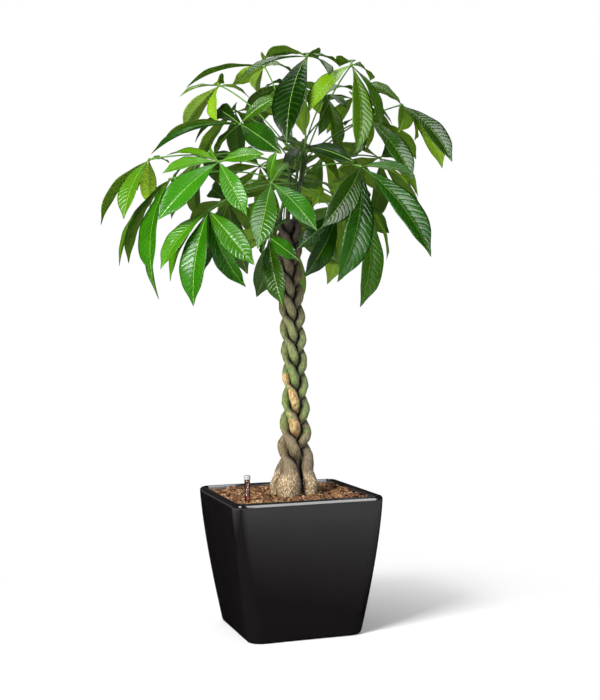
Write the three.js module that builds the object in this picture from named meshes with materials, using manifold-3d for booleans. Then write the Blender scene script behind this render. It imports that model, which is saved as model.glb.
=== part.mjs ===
// A potted money tree: five plaited trunks that bear palmate leaves on long stalks. They
// stand in bark-topped soil, in a square tapered planter with a liner and a water gauge.
//
// Millimetres, +Z up. The origin is the middle of the planter's underside, and the planter's
// walls face X and Y. The tree has a frame of its own, turned about Z: in it +X is to the
// right and +Y is away from whoever looks at the tree's best side.

import * as THREE from "three";
import { mergeVertices } from "three/addons/utils/BufferGeometryUtils.js";
import Module from "manifold-3d";

const wasm = await Module();
wasm.setup();

// ---------------------------------------------------------------- driving dimensions

const CLEARANCE = 0.35; // between pieces that touch on the real thing
const LEAN_ALLOWANCE = 1.3; // a leaning trunk takes more, measured on the level

const POT = {
  height: 330,
  topWidth: 364,
  bottomWidth: 280,
  cornerTop: 28, // corner radius in plan, at the rim and at the foot
  cornerBottom: 34,
  wall: 4,
  floor: 5,
  lipWidth: 13, // the rim's thick lip
  lipDepth: 18,
  lipRound: 9,
  innerRound: 1,
  footRound: 8,
  bevel: 0.3, // where a round edge's middle lies, as a share of its radius
  taperPower: 1.4, // 1 would be a straight wall; more draws the foot in with a curve
  cornerSteps: 3,
};
const WALL_HEIGHTS = [40, 100, 165, 230, 290]; // where the walls are split, to follow their curve

const LINER = {
  gap: 0.7, // beside the planter's lip
  top: 326,
  bottom: 60, // the liner stands this high on its feet, over the water
  wall: 3,
  footSize: 26,
  footInset: 96,
};

const SOIL = {
  top: 319,
  granulateDepth: 32, // the layer under the soil
  relief: 3.5, // height of the bark's lumps
  lumps: { x: 0.083, y: 0.074, skew: 0.021, bend: 0.9, bendY: 0.061 }, // their two crossed waves
  topShares: [0.85, 0.62, 0.36], // where the top is split, from its rim's size
};

const GAUGE = {
  x: -123,
  y: -74,
  bottom: 8,
  top: 378,
  outerRadius: 6.5,
  innerRadius: 5,
  floatRadius: 4.6,
  floatLength: 34,
  rodRadius: 3.1,
  rodTop: 364,
  capRadius: 7.8,
  capHeight: 10.5,
  capOverlap: 6.5, // how far the cap comes down over the tube
  sides: 10,
};

const TREE = {
  turnDeg: -18, // how the tree's best side is turned in the planter
  x: 15.5, // the trunk's middle line, from the planter's
  sway: 5, // its slow bend, to each side
  swayLength: 700,
  swayStart: 400,
};

const PLAIT = {
  turnDeg: 36, // the plait's best side looks past the viewer's left shoulder
  foot: 268, // the trunks' underground ends
  top: 985,
  phaseDeg: -5, // how far round the first trunk is, at the height below
  phaseAt: 400,
  pitchLow: 300, // height of one full turn of the plait, at that height and at the top
  pitchTop: 272,
  reachLow: 24, // sideways reach of a trunk's middle line
  reachTop: 16.5,
  depthShare: 0.92, // its fore-and-aft reach, as a share of the sideways one
  lingerShare: 0.03, // how much longer than in a plain sine a trunk stays at the plait's sides
  wideLow: 15, // half sizes of a trunk's oval section, sideways and fore and aft
  wideTop: 12,
  thickLow: 12.5,
  thickTop: 10.5,
  swellFrom: 600, // the plait is thicker below this height
  swellAt: 345, // where a trunk's foot is widest
  buriedShare: 0.35, // width of a trunk's underground end, as a share of its foot's
  sides: 6,
  // The rings that shape a trunk: each step in height holds up to the level beside it.
  rings: [
    { upTo: 300, step: 32 },
    { upTo: 400, step: 20 },
    { upTo: 985, step: 27 },
  ],
};

// Where each trunk meets the soil, from the trunk's middle line, its foot's radius, how far up
// the foot's swelling fades, and the heights between which it leaves the plait for its foot.
const TRUNKS = [
  { name: "trunk_middle", x: 12, y: 1, radius: 13.5, fade: 30, loose: [345, 440] },
  { name: "trunk_back", x: 6, y: 38, radius: 17, fade: 30, loose: [345, 440] },
  { name: "trunk_right", x: 41, y: -8, radius: 16.5, fade: 30, loose: [345, 440] },
  { name: "trunk_left", x: -41, y: 9, radius: 16, fade: 22, loose: [340, 395] },
  { name: "trunk_front", x: -12, y: -27, radius: 28, fade: 40, loose: [345, 440] },
];

// The green shoots that grow from the trunks' tops, each with its tip.
const SHOOTS = [
  { name: "shoot_front", trunk: "trunk_back", tip: [36, -18, 1142] },
  { name: "shoot_right", trunk: "trunk_left", tip: [54, -3, 1160] },
  { name: "shoot_back", trunk: "trunk_right", tip: [47, 16, 1170] },
  { name: "shoot_far", trunk: "trunk_front", tip: [24, 18, 1165] },
  { name: "shoot_left", trunk: "trunk_middle", tip: [16, -2, 1150] },
];
const SHOOT = {
  radius: 3.2,
  sides: 6,
  steps: 4,
  straightFoot: 0.25, // how much of its rise its foot and its tip keep upright
  straightTip: 0.55,
};

const STALK = {
  radius: 2,
  sides: 4,
  steps: 3,
  archShare: 0.16, // how far a stalk rises off the straight line, as a share of its length
  spacing: 0.09, // between a shoot's stalks, as a share of the shoot's length
  knobRadius: 5, // of the knob that the leaflets grow from
};

const BLADE = {
  widthShare: 0.33, // of a leaflet's length
  thickness: 1.8, // at the midrib; the edges are sharp
  archShare: 0.1, // how far its midrib bows off the straight line
  foldDeg: 14, // how far each half is raised from flat
  rollDeg: 14, // the most that a back leaf's is turned about its midrib, either way
  rootReach: 2, // its pointed root's place, from the knob's middle
};
// Half width along the blade: [share of its length, share of its greatest half width].
const BLADE_OUTLINE = [
  [0.24, 0.5],
  [0.56, 1],
  [0.86, 0.46],
];

// Leaves face away from this point in the crown and up, by these shares.
const CROWN_MIDDLE = [25, 0, 1100];
const FACE_OUT = 0.8;
const FACE_UP = 0.6;
const BEST_SIDE = [0, -1, 0];

// The leaves that show from the best side: each with its knob's place in the tree's frame,
// its leaflets' tips from there, and how squarely each leaflet's upper side is shown to the
// best side: 1 is square on, 0 edge on and -1 its underside.
const SEEN_LEAVES = [
  {
    name: "front_left",
    shoot: "shoot_front",
    hub: [-145, -150, 1105],
    tips: [
      [-130, 0, -25], [-135, -50, -135], [65, -65, -130],
      [105, -40, 10], [-125, 60, 25], [-20, 90, 55],
    ],
    shown: [0.7, 0.95, 1, 0.95, 0.5, 0.5],
  },
  {
    name: "front_low_left",
    shoot: "shoot_front",
    hub: [-170, -150, 995],
    tips: [
      [-35, -40, -220], [105, -65, -130], [-110, -25, -135],
      [-95, 40, -160], [80, 50, -175], [25, 90, -115],
    ],
    shown: [0.87, 1, 0.75, 0.45, 0.75, 0.5],
  },
  {
    name: "left_upper",
    shoot: "shoot_front",
    hub: [-100, -60, 1205],
    tips: [
      [-195, 40, -40], [-205, -50, -75], [-60, 110, 55],
      [100, -130, -90], [95, -30, 60], [-65, 30, -75],
    ],
    shown: [-0.12, 0.32, 1, 1, 0.95, 0.6],
  },
  {
    name: "left_outer",
    shoot: "shoot_left",
    hub: [-320, -20, 1130],
    tips: [
      [-50, -90, -150], [-10, 80, -105], [-120, 10, -155],
      [40, 70, 0], [-40, 80, -65],
    ],
    shown: [0.8, -0.95, -0.22, 0.5, -0.5],
  },
  {
    name: "top_front",
    shoot: "shoot_right",
    hub: [60, -20, 1370],
    tips: [
      [-160, -40, -65], [-105, 110, 20], [-50, -130, -225],
      [50, -110, -70], [80, 90, -5], [30, 130, 20],
    ],
    shown: [0.35, -0.2, 0.87, 0.4, 0.3, 0.3],
  },
  {
    name: "top_left",
    shoot: "shoot_left",
    hub: [-155, 60, 1320],
    tips: [
      [-95, -20, -30], [-85, -50, -120], [0, -90, -105],
      [70, 60, -20], [5, 130, 30],
    ],
    shown: [0.4, -0.75, 0.6, 0.5, 0.5],
  },
  {
    name: "front_middle",
    shoot: "shoot_front",
    hub: [-25, -200, 1050],
    tips: [
      [-30, -100, -155], [100, -70, -115], [-60, -40, -10],
      [15, -70, 60], [40, 60, 50],
    ],
    shown: [1, 0.95, 0.3, 0.8, 0.8],
  },
  {
    name: "low_middle",
    shoot: "shoot_front",
    hub: [-35, -110, 935],
    tips: [
      [70, -80, -60], [30, -30, -160], [-15, -40, -45],
      [-35, 90, 0], [60, 50, 45],
    ],
    shown: [1, 0.95, 0.6, 0.5, 0.5],
  },
  {
    name: "left_hanging",
    shoot: "shoot_left",
    hub: [-270, -40, 1080],
    tips: [
      [-120, -20, -205], [-110, 70, -195], [-35, -80, -235],
      [-30, 0, -285], [-40, 130, -75],
    ],
    shown: [0.2, -0.2, 0.6, 0.3, 0.5],
  },
  {
    name: "top_right",
    shoot: "shoot_right",
    hub: [165, -60, 1340],
    tips: [
      [5, -50, -215], [-105, -70, -125], [65, 0, -155],
      [50, 120, -15], [-25, 140, 25],
    ],
    shown: [0.75, 0.75, 0.5, 0.5, 0.5],
  },
  {
    name: "right_outer",
    shoot: "shoot_right",
    hub: [290, 30, 1260],
    tips: [
      [115, -40, -145], [105, 80, -145], [-20, -120, -85],
      [40, 110, -70], [-65, 90, 45], [-90, -40, 45],
    ],
    shown: [0.8, -0.5, 0.85, 0.28, 0.45, 0.8],
  },
  {
    name: "front_right",
    shoot: "shoot_right",
    hub: [180, -110, 1095],
    tips: [
      [125, -10, -25], [155, -50, -215], [-60, -70, -270],
      [-95, -120, -150], [120, 110, -35], [-15, 170, 0],
    ],
    shown: [0.6, 0.75, 0.73, 0.9, 0.3, 0.5],
  },
  {
    name: "right_upper",
    shoot: "shoot_back",
    hub: [205, 50, 1230],
    tips: [
      [105, -60, -160], [80, 60, -65], [130, 110, -85],
      [-40, -20, -95], [-50, 100, 0],
    ],
    shown: [0.8, -0.2, -0.2, 0.8, 0.5],
  },
  {
    name: "right_hanging",
    shoot: "shoot_right",
    hub: [195, 40, 1025],
    tips: [
      [-15, -40, -255], [10, 50, -145], [60, 90, -135],
      [-65, 70, -85],
    ],
    shown: [0.65, -0.95, 0.15, 0.5],
  },
  {
    name: "heart_front",
    shoot: "shoot_front",
    hub: [50, -60, 1150],
    tips: [
      [115, -50, -45], [85, 82, -75], [-45, -70, -60],
      [-65, -50, 10],
    ],
    shown: [0.92, 0.6, 0.8, 0.8],
  },
  {
    name: "low_right",
    shoot: "shoot_right",
    hub: [125, -60, 990],
    tips: [
      [-95, -60, -85], [-80, -50, -150], [0, 40, -110],
      [35, 110, -35],
    ],
    shown: [1, 0.87, -0.6, 0.5],
  },
  {
    name: "top_back",
    shoot: "shoot_far",
    hub: [-45, 110, 1375],
    tips: [
      [-195, 0, -50], [-85, 80, -30], [-20, -80, -75],
      [65, 100, 5], [-10, 150, 40],
    ],
    shown: [0.08, -0.9, -0.8, 0.5, 0.5],
  },
  {
    name: "heart_upper",
    shoot: "shoot_back",
    hub: [105, 40, 1290],
    tips: [
      [50, -50, -45], [25, 55, -140], [-20, -30, -105],
      [70, 110, 30], [-40, 110, 5],
    ],
    shown: [0.7, 0.75, 0.8, 0.5, 0.5],
  },
  {
    name: "young",
    shoot: "shoot_back",
    hub: [90, 40, 1080],
    tips: [
      [-40, 20, 15], [-25, -30, -65], [35, -20, -35],
      [-5, 20, -55],
    ],
    shown: [0.7, 0.7, 0.7, 0.7],
  },
];

// The leaves at the back: azimuth in degrees from the right, reach from the crown's middle
// and height of the knob, length of the longest leaflet, and a twist in degrees.
const BACK_LEAVES = [
  { name: "back_1", shoot: "shoot_back", fan: [60, 250, 1040, 210, 0] },
  { name: "back_2", shoot: "shoot_far", fan: [97, 250, 990, 215, 8] },
  { name: "back_3", shoot: "shoot_far", fan: [133, 250, 1050, 210, -6] },
  { name: "back_4", shoot: "shoot_back", fan: [36, 270, 1150, 205, 17] },
  { name: "back_5", shoot: "shoot_far", fan: [74, 275, 1175, 205, 4] },
  { name: "back_6", shoot: "shoot_far", fan: [110, 260, 1145, 205, 8] },
  { name: "back_7", shoot: "shoot_left", fan: [148, 280, 1155, 170, -4] },
  { name: "back_8", shoot: "shoot_back", fan: [44, 215, 1300, 160, 0] },
  { name: "back_9", shoot: "shoot_far", fan: [94, 165, 1340, 160, 10] },
  { name: "back_10", shoot: "shoot_left", fan: [136, 200, 1270, 175, -5] },
];
const BACK_FAN = {
  leaflets: 6,
  stepDeg: 52, // between neighbouring leaflets
  jitterDeg: 8,
  droop: 0.3, // how far the leaflets fold back from the leaf's face
  weight: 0.25, // and how far they hang
  shortest: 0.6, // length of the leaflets nearest the stalk, as a share of the longest
  lengthJitter: 0.06,
};

// ---------------------------------------------------------------- solids

const { lerp, clamp, degToRad } = THREE.MathUtils;
const UP = new THREE.Vector3(0, 0, 1);
const vector = (place) => new THREE.Vector3(...place);
const MERGE = 1e-4; // corners nearer than this are one

const smoothstep = (from, to, value) => {
  const t = clamp((value - from) / (to - from), 0, 1);
  return t * t * (3 - 2 * t);
};

// A repeatable draw from 0 to 1 for each pair of whole numbers: the fraction of a steep sine.
const draw = (a, b) => {
  const wave = Math.sin(a * 127.1 + b * 311.7) * 43758.5453;
  return wave - Math.floor(wave);
};

const toSolid = (geometry) => {
  geometry.deleteAttribute("normal");
  geometry.deleteAttribute("uv");
  const merged = mergeVertices(geometry, MERGE);
  const corners = merged.index.array;
  const triangles = [];
  for (let i = 0; i < corners.length; i += 3) {
    const [a, b, c] = corners.slice(i, i + 3);
    if (a !== b && b !== c && c !== a) triangles.push(a, b, c);
  }
  return new wasm.Manifold(
    new wasm.Mesh({
      numProp: 3,
      vertProperties: merged.attributes.position.array,
      triVerts: new Uint32Array(triangles),
    }),
  );
};

const toMesh = (name, solid, material) => {
  const made = solid.getMesh();
  const geometry = new THREE.BufferGeometry();
  geometry.setAttribute("position", new THREE.BufferAttribute(made.vertProperties, 3));
  geometry.setIndex(new THREE.BufferAttribute(made.triVerts, 1));
  geometry.computeVertexNormals();
  const mesh = new THREE.Mesh(geometry, material);
  mesh.name = name;
  return mesh;
};

const largestBody = (solid) =>
  solid.decompose().reduce((best, body) => (body.volume() > best.volume() ? body : best));

// A closed skin from points and the triangles between them.
const skin = (points, triangles) => {
  const geometry = new THREE.BufferGeometry().setFromPoints(points);
  geometry.setIndex(triangles);
  return toSolid(geometry);
};

// Joins rings of equally many points into a closed skin, with a flat fan over each end. Each
// ring runs anticlockwise, as seen from the ring after it.
const loft = (rings) => {
  const sides = rings[0].length;
  const points = rings.flat();
  const triangles = [];
  for (let i = 0; i < rings.length - 1; i++)
    for (let j = 0; j < sides; j++) {
      const [a, b] = [i * sides + j, i * sides + ((j + 1) % sides)];
      triangles.push(a, b, b + sides, a, b + sides, a + sides);
    }
  const close = (ring, faceBack) => {
    const middle = new THREE.Vector3();
    rings[ring].forEach((point) => middle.addScaledVector(point, 1 / sides));
    const centre = points.push(middle) - 1;
    for (let j = 0; j < sides; j++) {
      const [a, b] = [ring * sides + j, ring * sides + ((j + 1) % sides)];
      triangles.push(centre, ...(faceBack ? [b, a] : [a, b]));
    }
  };
  close(0, true);
  close(rings.length - 1, false);
  return skin(points, triangles);
};

// A tube along a curve.
const tube = (extrudePath, radius, sides, steps) => {
  const corners = Array.from({ length: sides }, (_, j) => {
    const angle = (2 * Math.PI * j) / sides;
    return new THREE.Vector2(radius * Math.cos(angle), radius * Math.sin(angle));
  });
  return toSolid(new THREE.ExtrudeGeometry(new THREE.Shape(corners), { extrudePath, steps }));
};

// A turned piece on an upright axis. Its outline is a list of [radius, height].
const turned = (outline) => {
  const points = outline.map(([radius, height]) => new THREE.Vector2(radius, height));
  return toSolid(new THREE.LatheGeometry(points, GAUGE.sides).rotateX(Math.PI / 2));
};

// ---------------------------------------------------------------- planter and liner

// Half the planter's outer width at a height.
const potHalf = (z) => {
  const drop = 1 - z / POT.height;
  return POT.topWidth / 2 - ((POT.topWidth - POT.bottomWidth) / 2) * drop ** POT.taperPower;
};

// A square with round corners, anticlockwise from above, inset from the planter's outside.
const squareRing = (z, inset) => {
  const half = potHalf(z) - inset;
  const radius = lerp(POT.cornerBottom, POT.cornerTop, z / POT.height) - inset;
  const ring = [];
  for (const [corner, sx, sy] of [[0, 1, 1], [1, -1, 1], [2, -1, -1], [3, 1, -1]])
    for (let i = 0; i <= POT.cornerSteps; i++) {
      const angle = (corner + i / POT.cornerSteps) * (Math.PI / 2);
      const x = sx * (half - radius) + radius * Math.cos(angle);
      const y = sy * (half - radius) + radius * Math.sin(angle);
      ring.push(new THREE.Vector3(x, y, z));
    }
  return ring;
};

const buildPlanter = () => {
  const { height, footRound, lipRound, innerRound, bevel, lipWidth, lipDepth, wall, floor } = POT;
  return loft([
    squareRing(0, footRound),
    squareRing(footRound * bevel, footRound * bevel),
    squareRing(footRound, 0),
    ...WALL_HEIGHTS.map((z) => squareRing(z, 0)),
    squareRing(height - lipRound, 0),
    squareRing(height - lipRound * bevel, lipRound * bevel),
    squareRing(height, lipRound),
    squareRing(height, lipWidth - innerRound),
    squareRing(height - innerRound, lipWidth),
    squareRing(height - lipDepth, lipWidth),
    squareRing(height - lipDepth - lipWidth + wall, wall),
    ...WALL_HEIGHTS.toReversed().map((z) => squareRing(z, wall)),
    squareRing(floor, wall),
  ]);
};

// The shaft that the water gauge stands in goes through the soil and the liner.
const gaugeShaft = () => {
  const radius = GAUGE.outerRadius + CLEARANCE;
  const shaft = new THREE.CylinderGeometry(radius, radius, GAUGE.top, GAUGE.sides);
  shaft.rotateX(Math.PI / 2).translate(GAUGE.x, GAUGE.y, GAUGE.top / 2);
  return toSolid(shaft);
};

const LINER_OUTSET = POT.lipWidth + LINER.gap;

const buildLiner = () => {
  const inner = LINER_OUTSET + LINER.wall;
  const heights = WALL_HEIGHTS.slice(1);
  let liner = loft([
    squareRing(LINER.bottom, LINER_OUTSET),
    ...heights.map((z) => squareRing(z, LINER_OUTSET)),
    squareRing(LINER.top, LINER_OUTSET),
    squareRing(LINER.top, inner),
    ...heights.toReversed().map((z) => squareRing(z, inner)),
    squareRing(LINER.bottom + LINER.wall, inner),
  ]);
  const footBottom = POT.floor + CLEARANCE;
  const footHeight = LINER.bottom + LINER.wall / 2 - footBottom;
  for (const sx of [-1, 1])
    for (const sy of [-1, 1]) {
      const foot = new THREE.BoxGeometry(LINER.footSize, LINER.footSize, footHeight);
      foot.translate(sx * LINER.footInset, sy * LINER.footInset, footBottom + footHeight / 2);
      liner = liner.add(toSolid(foot));
    }
  return liner.subtract(gaugeShaft());
};

// ---------------------------------------------------------------- filling and water gauge

const FILL_INSET = LINER_OUTSET + LINER.wall + CLEARANCE;
const GRANULATE_BOTTOM = LINER.bottom + LINER.wall + CLEARANCE;
const SOIL_BOTTOM = GRANULATE_BOTTOM + SOIL.granulateDepth;

const buildGranulate = () => {
  const heights = [GRANULATE_BOTTOM, SOIL_BOTTOM - CLEARANCE];
  return loft(heights.map((z) => squareRing(z, FILL_INSET))).subtract(gaugeShaft());
};

// The soil's top is raised in lumps: two crossed waves give each point its height.
const buildSoil = (holes) => {
  const { lumps } = SOIL;
  const lumpy = (x, y) => {
    const wave = Math.sin(x * lumps.x + lumps.bend * Math.sin(y * lumps.bendY));
    const crossing = Math.cos(y * lumps.y + x * lumps.skew);
    return new THREE.Vector3(x, y, SOIL.top + SOIL.relief * wave * crossing);
  };
  const rim = squareRing(SOIL.top, FILL_INSET);
  const topRings = SOIL.topShares.map((share) =>
    rim.map(({ x, y }) => lumpy(x * share, y * share)),
  );
  const walls = [SOIL_BOTTOM, ...WALL_HEIGHTS.slice(2)].map((z) => squareRing(z, FILL_INSET));
  return holes.reduce((soil, hole) => soil.subtract(hole), loft([...walls, rim, ...topRings]));
};

const buildGaugeTube = () =>
  turned([
    [GAUGE.innerRadius, GAUGE.bottom],
    [GAUGE.outerRadius, GAUGE.bottom],
    [GAUGE.outerRadius, GAUGE.top],
    [GAUGE.innerRadius, GAUGE.top],
    [GAUGE.innerRadius, GAUGE.bottom],
  ]);

// A float with a red rod on it. The rod's top shows the water's level.
const buildGaugeFloat = () =>
  turned([
    [0, GAUGE.bottom],
    [GAUGE.floatRadius, GAUGE.bottom],
    [GAUGE.floatRadius, GAUGE.bottom + GAUGE.floatLength],
    [GAUGE.rodRadius, GAUGE.bottom + GAUGE.floatLength + 2],
    [GAUGE.rodRadius, GAUGE.rodTop],
    [0, GAUGE.rodTop],
  ]);

const buildGaugeCap = () => {
  const bottom = GAUGE.top - GAUGE.capOverlap;
  const top = bottom + GAUGE.capHeight;
  const boreRadius = GAUGE.outerRadius + CLEARANCE;
  const chamfer = 1;
  return turned([
    [boreRadius, bottom],
    [GAUGE.capRadius, bottom],
    [GAUGE.capRadius, top - chamfer],
    [GAUGE.capRadius - chamfer, top],
    [0, top],
    [0, GAUGE.top + CLEARANCE],
    [boreRadius, GAUGE.top + CLEARANCE],
    [boreRadius, bottom],
  ]);
};

// ---------------------------------------------------------------- plaited trunks

// The trunk's middle line.
const middleX = (z) =>
  TREE.x + TREE.sway * Math.sin((2 * Math.PI * (z - TREE.swayStart)) / TREE.swayLength);

// How far a trunk has gone round the plait at a height, in radians.
const plaitPhase = (index, z) => {
  const share = clamp((z - PLAIT.phaseAt) / (PLAIT.top - PLAIT.phaseAt), 0, 1);
  const turns = (PLAIT.phaseAt - z) / lerp(PLAIT.pitchLow, PLAIT.pitchTop, share);
  return degToRad(PLAIT.phaseDeg) + 2 * Math.PI * (turns + index / TRUNKS.length);
};

// Seen from above, a trunk in the plait follows a figure of eight: sideways a sine with flat
// crests, and fore and aft a sine twice as quick. Near the soil it leaves for its own foot.
const trunkMiddle = (index, z) => {
  const phase = plaitPhase(index, z);
  const reach = lerp(PLAIT.reachLow, PLAIT.reachTop, smoothstep(PLAIT.phaseAt, PLAIT.swellFrom, z));
  const linger = PLAIT.lingerShare;
  const aside = (Math.sin(phase) + linger * Math.sin(3 * phase)) / (1 - linger);
  const deep = PLAIT.depthShare * Math.sin(2 * phase);
  const plaited = new THREE.Vector3(reach * aside, reach * deep, z);
  plaited.applyAxisAngle(UP, degToRad(PLAIT.turnDeg));
  const { x, y, loose } = TRUNKS[index];
  const place = new THREE.Vector3(x, y, z).lerp(plaited, smoothstep(...loose, z));
  return place.setX(place.x + middleX(z));
};

// Half sizes of a trunk's level section, sideways and fore and aft.
const trunkHalves = (index, z) => {
  const thin = smoothstep(PLAIT.phaseAt, PLAIT.swellFrom, z);
  const wide = lerp(PLAIT.wideLow, PLAIT.wideTop, thin);
  const thick = lerp(PLAIT.thickLow, PLAIT.thickTop, thin);
  const { radius, fade, loose } = TRUNKS[index];
  const buried = lerp(PLAIT.buriedShare, 1, smoothstep(PLAIT.foot, PLAIT.swellAt, z));
  const swell = Math.exp(-(((z - PLAIT.swellAt) / fade) ** 2));
  const own = z < PLAIT.swellAt ? radius * buried : lerp(Math.min(wide, radius), radius, swell);
  const plaited = smoothstep(...loose, z);
  return [lerp(own, wide, plaited), lerp(own, thick, plaited)];
};

const trunkHeights = () => {
  const heights = [PLAIT.foot];
  for (const { upTo, step } of PLAIT.rings) {
    while (heights.at(-1) < upTo) heights.push(heights.at(-1) + step);
  }
  heights.pop();
  return [...heights, PLAIT.top];
};

const buildTrunk = (index, grow = 0) => {
  const rings = trunkHeights().map((z) => {
    const [wide, thick] = trunkHalves(index, z);
    return Array.from({ length: PLAIT.sides }, (_, j) => {
      const angle = (2 * Math.PI * (j + 0.5)) / PLAIT.sides;
      const [x, y] = [(wide + grow) * Math.cos(angle), (thick + grow) * Math.sin(angle)];
      return new THREE.Vector3(x, y)
        .applyAxisAngle(UP, degToRad(PLAIT.turnDeg))
        .add(trunkMiddle(index, z));
    });
  });
  rings[0].forEach((point) => point.addScaledVector(UP, -grow));
  rings.at(-1).forEach((point) => point.addScaledVector(UP, grow));
  return loft(rings);
};

// Where two trunks press on each other, the later one gives way.
const buildTrunks = () =>
  TRUNKS.map((_, index) => {
    let trunk = buildTrunk(index);
    for (let earlier = 0; earlier < index; earlier++)
      trunk = trunk.subtract(buildTrunk(earlier, CLEARANCE * LEAN_ALLOWANCE));
    return largestBody(trunk);
  });

// ---------------------------------------------------------------- shoots and leaves

const shootLine = ({ trunk, tip }, grow = 0) => {
  const index = TRUNKS.findIndex(({ name }) => name === trunk);
  const foot = trunkMiddle(index, PLAIT.top).addScaledVector(UP, CLEARANCE);
  const end = vector(tip).addScaledVector(UP, grow);
  const rise = end.z - foot.z;
  return new THREE.CubicBezierCurve3(
    foot,
    foot.clone().addScaledVector(UP, rise * SHOOT.straightFoot),
    end.clone().addScaledVector(UP, -rise * SHOOT.straightTip),
    end,
  );
};

const buildShoot = (shoot, grow = 0) =>
  tube(shootLine(shoot, grow), SHOOT.radius + grow, SHOOT.sides, SHOOT.steps);

// The way that a leaf faces.
const leafFace = (hub) =>
  hub.clone().sub(vector(CROWN_MIDDLE)).normalize().multiplyScalar(FACE_OUT)
    .addScaledVector(UP, FACE_UP)
    .normalize();

// A leaf at the back: its leaflets fan out round its face from the one that hangs outwards.
const fanLeaf = ([azimuthDeg, reach, height, size, twistDeg], index) => {
  const out = new THREE.Vector3(1, 0, 0).applyAxisAngle(UP, degToRad(azimuthDeg));
  const hub = vector(CROWN_MIDDLE).setZ(height).addScaledVector(out, reach);
  const face = leafFace(hub);
  const side = UP.clone().cross(out);
  const hanging = out.clone().addScaledVector(face, -out.dot(face)).normalize();
  const tips = Array.from({ length: BACK_FAN.leaflets }, (_, j) => {
    const place = j - (BACK_FAN.leaflets - 1) / 2;
    const jitter = BACK_FAN.jitterDeg * (2 * draw(index, j + 20) - 1);
    const angle = degToRad(place * BACK_FAN.stepDeg + twistDeg + jitter);
    const share = lerp(BACK_FAN.shortest, 1, Math.cos(angle / 2) ** 2);
    const length = size * share * (1 + BACK_FAN.lengthJitter * (2 * draw(index, j + 40) - 1));
    return hanging
      .clone()
      .multiplyScalar(Math.cos(angle))
      .addScaledVector(side, Math.sin(angle))
      .addScaledVector(face, -BACK_FAN.droop)
      .addScaledVector(UP, -BACK_FAN.weight)
      .setLength(length)
      .toArray();
  });
  return { hub: hub.toArray(), tips };
};

// What is left of a direction when its share along another is taken away.
const squareTo = (direction, along) =>
  direction.clone().addScaledVector(along, -direction.dot(along)).normalize();

// The way that a leaflet's upper side faces: turned from the best side until as much of it
// shows as it should, and then nearest to the leaf's own face.
const turnShown = (along, face, shown) => {
  const square = squareTo(vector(BEST_SIDE), along);
  const aside = along.clone().cross(square);
  const turn = Math.sqrt(1 - shown ** 2) * (aside.dot(face) < 0 ? -1 : 1);
  return square.multiplyScalar(shown).addScaledVector(aside, turn);
};

// A leaflet's blade, pointed at both ends. Its midrib is a parabola that bows towards its
// upper side, and its two halves rise from the midrib.
const buildBlade = (root, tip, turnUp) => {
  const chord = tip.clone().sub(root);
  const length = chord.length();
  const along = chord.clone().normalize();
  const up = turnUp(along);
  const side = along.clone().cross(up);
  const bow = 4 * BLADE.archShare * length;
  const fold = degToRad(BLADE.foldDeg);
  const rings = BLADE_OUTLINE.map(([t, share]) => {
    const half = (share * BLADE.widthShare * length) / 2;
    const middle = root.clone().addScaledVector(chord, t).addScaledVector(up, bow * t * (1 - t));
    const slope = chord.clone().addScaledVector(up, bow * (1 - 2 * t)).normalize();
    const over = side.clone().cross(slope);
    const edge = (reach) =>
      middle
        .clone()
        .addScaledVector(side, reach * Math.cos(fold))
        .addScaledVector(over, half * Math.sin(fold));
    const under = middle.clone().addScaledVector(over, -BLADE.thickness);
    return [edge(-half), middle, edge(half), under];
  });
  const sides = 4;
  const last = (rings.length - 1) * sides;
  const [rootPoint, tipPoint] = [last + sides, last + sides + 1];
  const triangles = [];
  for (let j = 0; j < sides; j++) {
    const next = (j + 1) % sides;
    triangles.push(rootPoint, next, j, last + j, last + next, tipPoint);
  }
  // Each strip of the upper face and the one below it are split along the same diagonal.
  const flipped = [false, true, false, true];
  for (let i = 0; i < rings.length - 1; i++)
    for (let j = 0; j < sides; j++) {
      const [a, b] = [i * sides + j, i * sides + ((j + 1) % sides)];
      const [c, d] = [b + sides, a + sides];
      triangles.push(...(flipped[j] ? [a, b, d, b, c, d] : [a, b, c, a, c, d]));
    }
  return skin([...rings.flat(), root, tip], triangles);
};

const buildLeaf = (leaf, index) => {
  const shoot = SHOOTS.find(({ name }) => name === leaf.shoot);
  const hub = vector(leaf.hub);
  const foot = shootLine(shoot).getPoint(leaf.along);
  const arch = STALK.archShare * hub.distanceTo(foot);
  const knee = foot.clone().lerp(hub, 0.5).addScaledVector(UP, arch);
  const stalk = new THREE.QuadraticBezierCurve3(foot, knee, hub);
  const knob = new THREE.OctahedronGeometry(STALK.knobRadius, 0).translate(...leaf.hub);
  let solid = tube(stalk, STALK.radius, STALK.sides, STALK.steps).add(toSolid(knob));
  leaf.tips.forEach((offset, j) => {
    const away = vector(offset);
    const root = hub.clone().addScaledVector(away.clone().normalize(), BLADE.rootReach);
    const roll = degToRad(BLADE.rollDeg) * (2 * draw(index, j) - 1);
    const turnUp = (along) =>
      leaf.shown
        ? turnShown(along, leafFace(hub), leaf.shown[j])
        : squareTo(leafFace(hub), along).applyAxisAngle(along, roll);
    solid = solid.add(buildBlade(root, hub.clone().add(away), turnUp));
  });
  return largestBody(solid.subtract(buildShoot(shoot, CLEARANCE)));
};

// Every leaf, with the share of its shoot's length at which its stalk leaves the shoot: the
// highest leaf leaves it at its tip, and each lower one a little below.
const placeLeaves = () => {
  const leaves = [
    ...SEEN_LEAVES,
    ...BACK_LEAVES.map(({ fan, ...leaf }, i) => ({
      ...leaf,
      ...fanLeaf(fan, SEEN_LEAVES.length + i),
    })),
  ];
  return leaves.map((leaf) => {
    const higher = leaves.filter(({ shoot, hub }) => shoot === leaf.shoot && hub[2] > leaf.hub[2]);
    return { ...leaf, along: 1 - STALK.spacing * higher.length };
  });
};

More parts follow.
